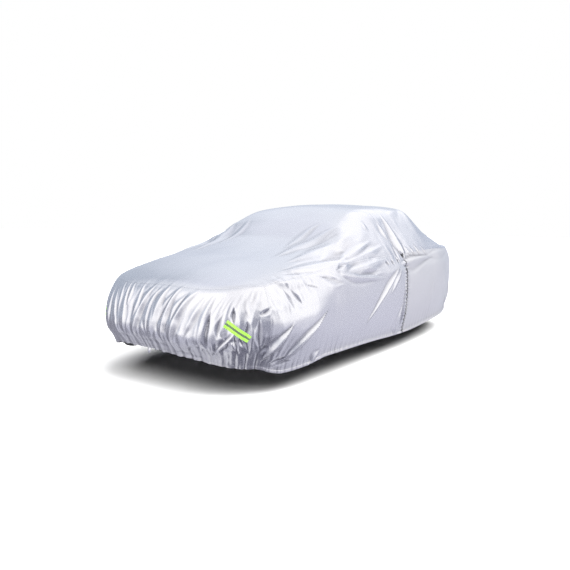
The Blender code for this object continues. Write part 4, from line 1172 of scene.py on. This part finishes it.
class ClothSettings(bpy.types.PropertyGroup):
    """Sizes and colours of the cloth."""

    thickness: FloatProperty(
        name="Thickness", description="Thickness of the cloth", default=CLOTH,
        min=0.0005, max=0.004, unit="LENGTH")
    cells_across: IntProperty(
        name="Cells across", description="Mesh cells across the canopy", default=150, min=40, max=160)
    cells_along: IntProperty(
        name="Cells along", description="Mesh cells along the canopy", default=312, min=80, max=320)
    cells_down: IntProperty(
        name="Rows down", description="Rows of points from shoulder seam to hem", default=78,
        min=20, max=80)
    folds: FloatProperty(
        name="Folds", description="Height of the main folds, as a share of the drawn ones",
        default=1.0, min=0.0, max=1.5, subtype="FACTOR")
    gathers: FloatProperty(
        name="Gathers", description="Height of the gathers along the hem", default=1.0,
        min=0.0, max=2.0, subtype="FACTOR")
    crumples: FloatProperty(
        name="Crumples", description="Height of the small unevenness of the cloth", default=1.0,
        min=0.0, max=2.0, subtype="FACTOR")
    silver: colour_setting("Silver", "Colour of the silver coating", (0.562, 0.565, 0.605))
    pale_silver: colour_setting(
        "Pale silver", "Colour of the paler cloth behind the zip", (0.575, 0.575, 0.605))
    dust: colour_setting("Dust", "Colour of the dust near the hem", (0.56, 0.55, 0.54))


class ZipSettings(bpy.types.PropertyGroup):
    """Sizes and colours of the zip."""

    tooth: FloatProperty(
        name="Tooth pitch", description="Distance from one tooth to the next on one tape",
        default=0.0060, min=0.002, max=0.02, unit="LENGTH")
    tape: colour_setting("Tape", "Colour of the zip's tape and teeth", (0.045, 0.045, 0.05))
    metal: colour_setting("Slider", "Colour of the slider and its pull", (0.20, 0.20, 0.21))


class StripSettings(bpy.types.PropertyGroup):
    """Size and colours of the reflective strips."""

    width: FloatProperty(
        name="Width", description="Width of a strip", default=STRIP_WIDTH, min=0.02, max=0.12,
        unit="LENGTH")
    lime: colour_setting("Lime", "Colour of the strip's two bands", (0.42, 0.88, 0.08))
    line: colour_setting("Line", "Colour of the line between the bands", (0.12, 0.17, 0.10))


class StageSettings(bpy.types.PropertyGroup):
    """Floor, light and camera."""

    floor: colour_setting("Floor", "Colour of the floor", (0.80, 0.80, 0.80))
    sky: FloatProperty(
        name="Surround", description="Brightness of the light from all round", default=1.0,
        min=0.0, max=5.0)
    floor_light: FloatProperty(
        name="Dull light", description="Strength of the wide lights on the floor and the pieces",
        default=5.0, min=0.0, max=20.0)
    azimuth: FloatProperty(
        name="Azimuth", description="Camera's direction, from straight ahead of the nose to its left",
        default=math.radians(34.059), subtype="ANGLE")
    elevation: FloatProperty(
        name="Elevation", description="Camera's height above level", default=math.radians(6.101),
        subtype="ANGLE")
    distance: FloatProperty(
        name="Distance", description="From the camera to the point it looks at", default=6.317,
        min=0.5, unit="LENGTH")
    roll: FloatProperty(
        name="Roll", description="Turn of the camera about its own line of sight",
        default=math.radians(0.827), subtype="ANGLE")
    lens: FloatProperty(
        name="Lens", description="Focal length for a 36 mm sensor, in millimetres", default=37.12,
        min=10.0, max=200.0)


def form_now():
    """The folded cover for the current settings."""
    cloth = bpy.context.scene.cover_cloth
    return cover_form(cloth.cells_across, cloth.cells_along, cloth.cells_down,
                      round(cloth.folds, 4), round(cloth.gathers, 4), round(cloth.crumples, 4))


def silver_look():
    """The silver cloth's material, made once."""
    cloth = bpy.context.scene.cover_cloth
    return bpy.data.materials.get("silver_coated_cloth") or cloth_look(
        "silver_coated_cloth", tuple(cloth.silver), tuple(cloth.dust), *SILVER_FINISH)


# ---------------------------------------------------------------- operators
class SewCanopy(bpy.types.Operator):
    """Sew the canopy, from the nose over the roof to the tail."""

    bl_idname = "cover.sew_canopy"
    bl_label = "Sew the canopy"

    def execute(self, context):
        form = form_now()
        grid = form["canopy"]
        down = lengths_down(grid)
        on = lengths_down(grid.transpose(1, 0, 2)).T
        u = down - down[len(grid) // 2]
        cloth_place = np.stack([on, u, 0 * on], -1)
        from_seam = np.minimum(np.minimum(down, down[-1] - down), np.minimum(on, on[:, -1:] - on))
        far = np.ones_like(on)
        edge_place = np.stack([from_seam, far, far], -1)
        canopy = sheet_piece("canopy_cloth", grid, form["canopy_out"], cloth_place, edge_place,
                             silver_look(), ("canopy",),
                             context.scene.cover_cloth.thickness)
        return {"FINISHED"}


class SewSkirts(bpy.types.Operator):
    """Sew the skirts round the canopy, from the shoulder seam to the gathered hem."""

    bl_idname = "cover.sew_skirts"
    bl_label = "Sew the skirts"

    def execute(self, context):
        form = form_now()
        cloth = context.scene.cover_cloth
        nose_end, left_end, rear_end, right_end = (int(m) for m in form["marks"][1:])
        pale = cloth_look("pale_silver_cloth", tuple(cloth.pale_silver), tuple(cloth.dust),
                          *PALE_FINISH)
        silver, zip_at = silver_look(), form["zip_at"]
        pieces = (
            ("front_skirt", 0, nose_end, silver, "silver_cloth", (1.75, 0.62)),
            ("left_skirt", nose_end, zip_at[0], silver, "silver_cloth", (2.26, 0.82)),
            ("left_rear_skirt", zip_at[1], left_end, pale, "pale_silver_cloth", (1.62, 0.80)),
            ("rear_skirt", left_end, rear_end, silver, "silver_cloth", (1.75, 0.80)),
            ("right_skirt", rear_end, right_end, silver, "silver_cloth", (3.90, 0.82)),
        )
        for name, first, last, look, slot_name, flat in pieces:
            columns = np.arange(first, last + 1) % form["skirts"].shape[1]
            outer, out = form["skirts"][:, columns], form["skirts_out"][:, columns]
            run = np.broadcast_to(lengths_along(outer[len(outer) // 2]), outer.shape[:2])
            to_side = np.minimum(run, run[:, -1:] - run)
            seam, hem = form["seam"][:, columns], form["hem"][:, columns]
            piece = sheet_piece(f"{name}_cloth", outer, out, np.stack([run, seam, 0 * run], -1),
                                np.stack([seam, hem, to_side], -1), look, (name,),
                                cloth.thickness)
        return {"FINISHED"}


def surface_tree(piece):
    """Search tree over a piece, in heights above the ground."""
    mesh = piece.data
    points = [v.co + Vector((0, 0, ROOF_HEIGHT)) for v in mesh.vertices]
    return BVHTree.FromPolygons(points, [p.vertices[:] for p in mesh.polygons])


class FitZip(bpy.types.Operator):
    """Set the zip in the left side: tape, teeth, slider and pull."""

    bl_idname = "cover.fit_zip"
    bl_label = "Fit the zip"

    def execute(self, context):
        form = form_now()
        settings = context.scene.cover_zip
        first, last = form["zip_at"]
        outer, out = form["skirts"][:, first:last + 1], form["skirts_out"][:, first:last + 1]
        outer = outer - out * TAPE_DEPTH
        run = np.broadcast_to(lengths_along(outer[len(outer) // 2]), outer.shape[:2])
        place = np.stack([run, form["seam"][:, first:last + 1], 0 * run], -1)
        weave = tape_look("zip_tape_weave", tuple(settings.tape))
        tape = sheet_piece("zip_tape_cloth", outer, out, place, place * 0 + 1, weave,
                           ("zip_tape",), TAPE_THICKNESS)

        middle = outer.shape[1] // 2
        line, way = outer[:, middle], out[:, middle]
        self.set_teeth(line, way, settings.tooth, weave)
        self.set_slider(line, way, metal_look("painted_zip_metal", tuple(settings.metal)))
        return {"FINISHED"}

    def set_teeth(self, line, way, pitch, look):
        """Two rows of interlocking teeth down the middle line of the tape."""
        length = lengths_along(line)
        places = np.arange(TEETH_FROM, length[-1] - TEETH_TO, pitch / 2)
        centre, face = at_lengths(places, length, line), at_lengths(places, length, way)
        near, far = TOOTH_SPAN
        points, faces = [], []
        for number, (spot, out) in enumerate(zip(centre, face)):
            out = out / np.linalg.norm(out)
            beside = np.array([0.0, 1.0, 0.0])
            down = np.cross(out, beside)
            hand = 1 if number % 2 else -1
            start = len(points)
            for height, wide, tall in TOOTH_LAYERS:
                for u, v in ((near, -1), (far, -1), (far, 1), (near, 1)):
                    reach = hand * (TOOTH_MIDDLE + (u - TOOTH_MIDDLE) * wide)
                    points.append(spot + out * height + beside * reach
                                  + down * (v * tall * pitch * TOOTH_HALF))
            for level in (0, 4):
                for k in range(4):
                    a, b = start + level + k, start + level + (k + 1) % 4
                    faces.append((a, b, b + 4, a + 4) if hand > 0 else (b, a, a + 4, b + 4))
            top = tuple(start + 8 + k for k in range(4))
            base = tuple(start + k for k in range(4))
            faces += [top, base[::-1]] if hand > 0 else [top[::-1], base]
        return new_piece("zip_teeth", np.array(points), faces, look)

    def set_slider(self, line, way, look):
        """Slider body with its wings and bridge, and the pull hanging from it."""
        length = lengths_along(line)
        spot, out = (at_lengths([SLIDER_DROP], length, rows)[0] for rows in (line, way))
        out = out / np.linalg.norm(out)
        down = np.cross(out, (0.0, 1.0, 0.0))
        down *= -np.sign(down[2]) / np.linalg.norm(down)
        beside = np.cross(down, out)
        spot = spot + out * SLIDER_STAND

        def ring(outline, height, share, drop=0.0, tilt=0.0):
            both = (*outline, *((-u, v) for u, v in outline[::-1]))
            return [spot + beside * (u * share) + down * (v * share + drop)
                    + out * (height + tilt * v) for u, v in both]

        half, thick = BRIDGE_HALF
        corners = ((-half, -thick), (half, -thick), (half, thick), (-half, thick))
        shapes = (
            ("zip_slider_body", ("zip_slider",),
             [ring(SLIDER_OUTLINE, *layer) for layer in SLIDER_LAYERS]),
            ("zip_slider_bridge", (),
             [[spot + down * v + out * (h + b) + beside * a for a, b in corners]
              for v, h in BRIDGE]),
            ("zip_pull_tag", ("zip_pull",),
             [ring(PULL_OUTLINE, PULL_STAND + h, share, 0.001, PULL_TILT)
              for h, share in PULL_LAYERS]),
        )
        for name, nodes, rings in shapes:
            points, faces = loft(rings)
            soften(new_piece(name, points, faces, look, nodes), FITTING_EDGE)


def at_lengths(places, length, rows):
    """Rows of three numbers, given at lengths along a line, read at other places along it."""
    return np.column_stack([np.interp(places, length, rows[:, c]) for c in range(3)])


def loft(rings):
    """Closed skin over a row of rings, with its two ends filled."""
    size = len(rings[0])
    points = np.array([p for ring in rings for p in ring])
    faces = []
    for level in range(len(rings) - 1):
        for k in range(size):
            a, b = level * size + k, level * size + (k + 1) % size
            faces.append((a, b, b + size, a + size))
    faces.append(tuple(reversed(range(size))))
    faces.append(tuple(range((len(rings) - 1) * size, len(rings) * size)))
    return points, faces


def soften(piece, width):
    """Rounds the edges of a small fitting and makes its faces point out."""
    net = bmesh.new()
    net.from_mesh(piece.data)
    bmesh.ops.recalc_face_normals(net, faces=net.faces)
    net.to_mesh(piece.data)
    net.free()
    bevel = piece.modifiers.new("soft edges", "BEVEL")
    bevel.width = width
    bevel.segments = 2
    piece.data.set_sharp_from_angle(angle=math.radians(50))


class SewStrips(bpy.types.Operator):
    """Sew a reflective strip slantwise on each front corner."""

    bl_idname = "cover.sew_strips"
    bl_label = "Sew the strips"

    def execute(self, context):
        settings = context.scene.cover_strips
        look = strip_look("lime_reflective_tape", tuple(settings.lime), tuple(settings.line))
        cloth = bpy.data.objects.get("front_skirt_cloth")
        if cloth is None:
            raise RuntimeError("sew the skirts first: the strips lie on the front skirt")
        tree = surface_tree(cloth)
        for hand, side in ((1, "left"), (-1, "right")):
            outer, way, place = self.laid(tree, hand, settings.width)
            normals = np.broadcast_to(way, outer.shape)
            name = f"{side}_reflector"
            if hand < 0:
                outer, place = outer[:, ::-1], place[:, ::-1]
            strip = sheet_piece(f"{name}_tape", outer, normals, place, place * 0 + 1, look,
                                (name,), STRIP_THICKNESS)
        return {"FINISHED"}

    def laid(self, tree, hand, width):
        """The strip's outer skin laid over the pleats and stiff enough to bridge the narrow ones."""
        mirror = np.array([hand, 1, 1])
        way = np.array(STRIP_FACING) * mirror
        way = way / np.linalg.norm(way)
        start, end = np.array(STRIP_FROM) * mirror, np.array(STRIP_TO) * mirror
        run = (end - start) / np.linalg.norm(end - start)
        level = np.cross(way, run)
        level *= np.sign(level[2]) / np.linalg.norm(level)
        u = np.linspace(0, 1, STRIP_CELLS[0] + 1)
        v = np.linspace(-0.5, 0.5, STRIP_CELLS[1] + 1)
        spots = start + (end - start) * u[:, None, None] + level * (v * width)[None, :, None]
        depth = np.zeros(spots.shape[:2])
        for i, row in enumerate(spots):
            for j, spot in enumerate(row):
                hit = tree.ray_cast(Vector(spot + way * 0.4), Vector(-way))[0]
                if hit is None:
                    raise RuntimeError("a strip misses the cloth")
                depth[i, j] = np.dot(np.array(hit) - spot, way)
        smooth = depth
        for _ in range(STRIP_STIFFNESS):
            smooth = np.maximum(blur(smooth), depth)
        smooth = np.maximum(blur(smooth), depth + 0.0002) + STRIP_STAND
        outer = spots + way * smooth[..., None]
        length = np.linalg.norm(end - start)
        place = np.stack(np.broadcast_arrays(u[:, None] * length, v[None, :] * width, 0.0), -1)
        return outer, way, place


def blur(values):
    """Each value averaged with its four neighbours."""
    wide = np.pad(values, 1, mode="edge")
    return (values * 2 + wide[2:, 1:-1] + wide[:-2, 1:-1] + wide[1:-1, 2:] + wide[1:-1, :-2]) / 6


class SewTab(bpy.types.Operator):
    """Sew the small pointed pull tab under the front hem."""

    bl_idname = "cover.sew_tab"
    bl_label = "Sew the tab"

    def execute(self, context):
        form = form_now()
        hem = form["skirts"][-1, :int(form["marks"][1])]
        hem = hem[hem[:, 0].argsort()]
        low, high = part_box("hem_tab")
        length = high[2] - low[2]
        half = (high[0] - low[0]) / 2
        rows = []
        for share in np.linspace(0, 1, 14):
            width = half * min(1.0, (1 - share) * 2.3 + 0.04)
            row = []
            for u in np.linspace(-1, 1, 9):
                x = TAB_CENTRE + u * width
                y, z = (np.interp(x, hem[:, 0], hem[:, c]) for c in (1, 2))
                curl = 0.004 * math.sin(share * 2.4) + 0.0012 * math.cos(u * 2.2)
                row.append((x, y - curl, z + TAB_TUCK - share * length))
            rows.append(row)
        outer = np.array(rows)
        normals = grid_normals(outer, closed=False)
        u = outer[..., 0] - outer[0, 0, 0]
        place = np.stack([u, outer[0, 0, 2] - outer[..., 2], 0 * u], -1)
        tab = sheet_piece("hem_tab_cloth", outer, normals, place, place * 0 + 1, silver_look(),
                          ("hem_tab",), TAB_THICKNESS)
        return {"FINISHED"}


class SetStage(bpy.types.Operator):
    """Set the pale floor, the soft studio light and the camera."""

    bl_idname = "cover.set_stage"
    bl_label = "Set the stage"

    def execute(self, context):
        stage = context.scene.cover_stage
        self.floor(stage)
        self.surround(context.scene, stage)
        self.dull_lights(context.scene, stage)
        self.camera(context.scene, stage)
        context.scene.view_settings.view_transform = "Standard"
        return {"FINISHED"}

    def floor(self, stage):
        """A wide floor under the cover."""
        mesh = bpy.data.meshes.new("floor")
        corners = ((-1, -1), (1, -1), (1, 1), (-1, 1))
        mesh.from_pydata([(x * FLOOR_HALF, y * FLOOR_HALF, -ROOF_HEIGHT) for x, y in corners],
                         [], [(0, 1, 2, 3)])
        mesh.materials.append(floor_look(tuple(stage.floor)))
        floor = bpy.data.objects.new("floor", mesh)
        bpy.context.scene.collection.objects.link(floor)
        floor.visible_glossy = False

    def surround(self, scene, stage):
        """Soft light from all round, with screens in it, and a plain white backdrop."""
        world = bpy.data.worlds.new("studio")
        scene.world = world
        world.cycles_visibility.diffuse = False
        world.use_nodes = True
        n = Nodes(world.node_tree)
        n.tree.nodes.clear()
        where = n.add("ShaderNodeTexCoord").outputs["Generated"]
        height = n.parts(where)["Z"]
        ramp = n.add("ShaderNodeValToRGB")
        n.link(n.calc("MULTIPLY_ADD", height, 0.5, 0.5), ramp.inputs[0])
        bands = ramp.color_ramp
        bands.interpolation = "EASE"
        while len(bands.elements) < len(DOME):
            bands.elements.new(0.5)
        for element, (elevation, *colour) in zip(bands.elements, DOME):
            element.position = 0.5 + 0.5 * math.sin(math.radians(elevation))
            element.color = (*(c / DOME_TOP for c in colour), 1)
        dome = n.add("ShaderNodeVectorMath", operation="SCALE")
        n.link(ramp.outputs[0], dome.inputs[0])
        n.link(DOME_TOP, dome.inputs["Scale"])
        total = dome.outputs[0]
        level = n.vector("NORMALIZE", n.vector("MULTIPLY", where, (1, 1, 0))[0])[0]
        for row in SCREENS:
            total = self.screen(n, level, height, total, row)
        glow, white = n.add("ShaderNodeBackground"), n.add("ShaderNodeBackground")
        n.link(total, glow.inputs[0])
        n.link(stage.sky, glow.inputs[1])
        n.link((1, 1, 1, 1), white.inputs[0])
        choose = n.add("ShaderNodeMixShader")
        n.link(n.add("ShaderNodeLightPath").outputs["Is Camera Ray"], choose.inputs[0])
        n.link(glow.outputs[0], choose.inputs[1])
        n.link(white.outputs[0], choose.inputs[2])
        n.link(choose.outputs[0], n.add("ShaderNodeOutputWorld").inputs[0])

    def screen(self, n, level, height, total, row):
        """Sets one soft-edged screen, light or dark, in front of the dome's light."""
        azimuth, half, low, high, edge, *colour = row
        a = math.radians(azimuth)
        turn = n.vector("DOT_PRODUCT", level, (math.sin(a), -math.cos(a), 0))["Value"]
        wide = [math.cos(math.radians(v)) for v in (half + edge, half - edge / 2)]
        share = n.span(turn, *wide, ease="SMOOTHSTEP")
        for none, full in ((low - edge, low), (high + edge, high)):
            sines = (math.sin(math.radians(v)) for v in (none, full))
            share = n.calc("MULTIPLY", share, n.span(height, *sines, ease="SMOOTHSTEP"))
        return n.blend(share, total, colour)

    def dull_lights(self, scene, stage):
        """Lights for the floor, and one for what is dull on the strips, the zip and the cloth."""
        floor = [item for item in scene.objects if item.name == "floor"]
        pieces = [item for item in scene.objects if item.type == "MESH" and item not in floor]
        for number, row in enumerate(FLOOR_LIGHTS):
            self.dull_light(scene, stage, f"floor_light_{number + 1}", row, floor)
        self.dull_light(scene, stage, "piece_light", PIECE_LIGHT, pieces)

    def dull_light(self, scene, stage, name, row, lit):
        """A wide light that leaves no reflection and falls only on some objects."""
        left, ahead, spread, share = row
        light = bpy.data.lights.new(name, "SUN")
        light.angle = math.radians(spread)
        light.energy = stage.floor_light * share
        lamp = bpy.data.objects.new(name, light)
        lamp.visible_glossy = False
        lamp.location = (0, 0, 4)
        lamp.rotation_euler = Vector((-left, ahead, -1)).to_track_quat("-Z", "Y").to_euler()
        scene.collection.objects.link(lamp)
        group = bpy.data.collections.new(f"lit_by_{name}")
        for item in lit:
            group.objects.link(item)
        lamp.light_linking.receiver_collection = group

    def camera(self, scene, stage):
        """The camera at the photograph's angle."""
        a, e, roll = stage.azimuth, stage.elevation, stage.roll
        back = Vector((math.sin(a) * math.cos(e), -math.cos(a) * math.cos(e), math.sin(e)))
        right = Vector((math.cos(a), math.sin(a), 0))
        up = back.cross(right)
        target = Vector(LOOK_AT) - Vector((0, 0, ROOF_HEIGHT))
        side = math.cos(roll) * right + math.sin(roll) * up
        top = -math.sin(roll) * right + math.cos(roll) * up
        data = bpy.data.cameras.new("camera")
        data.lens = stage.lens
        data.sensor_width = 36.0
        data.clip_end = 300.0
        camera = bpy.data.objects.new("camera", data)
        turn = Matrix((side, top, back)).transposed().to_4x4()
        camera.matrix_world = Matrix.Translation(target + back * stage.distance) @ turn
        scene.collection.objects.link(camera)
        scene.camera = camera


OPERATORS = (SewCanopy, SewSkirts, FitZip, SewStrips, SewTab, SetStage)
SETTINGS = (
    ("cover_cloth", ClothSettings), ("cover_zip", ZipSettings), ("cover_strips", StripSettings),
    ("cover_stage", StageSettings),
)


class CoverPanel(bpy.types.Panel):
    """Sizes, colours and steps of the car cover."""

    bl_idname = "COVER_PT_steps"
    bl_label = "Car cover"
    bl_space_type = "VIEW_3D"
    bl_region_type = "UI"
    bl_category = "Car cover"

    def draw(self, context):
        for name, group in SETTINGS:
            box = self.layout.box()
            for field in group.__annotations__:
                box.prop(getattr(context.scene, name), field)
        for operator in OPERATORS:
            self.layout.operator(operator.bl_idname)


def register():
    for name, group in SETTINGS:
        bpy.utils.register_class(group)
        setattr(bpy.types.Scene, name, PointerProperty(type=group))
    for cls in (*OPERATORS, CoverPanel):
        bpy.utils.register_class(cls)


def unregister():
    for cls in (CoverPanel, *reversed(OPERATORS)):
        bpy.utils.unregister_class(cls)
    for name, group in reversed(SETTINGS):
        delattr(bpy.types.Scene, name)
        bpy.utils.unregister_class(group)


def main():
    register()
    bpy.ops.cover.sew_canopy()
    bpy.ops.cover.sew_skirts()
    bpy.ops.cover.fit_zip()
    bpy.ops.cover.sew_strips()
    bpy.ops.cover.sew_tab()
    bpy.ops.cover.set_stage()


if __name__ == "__main__":
    main()
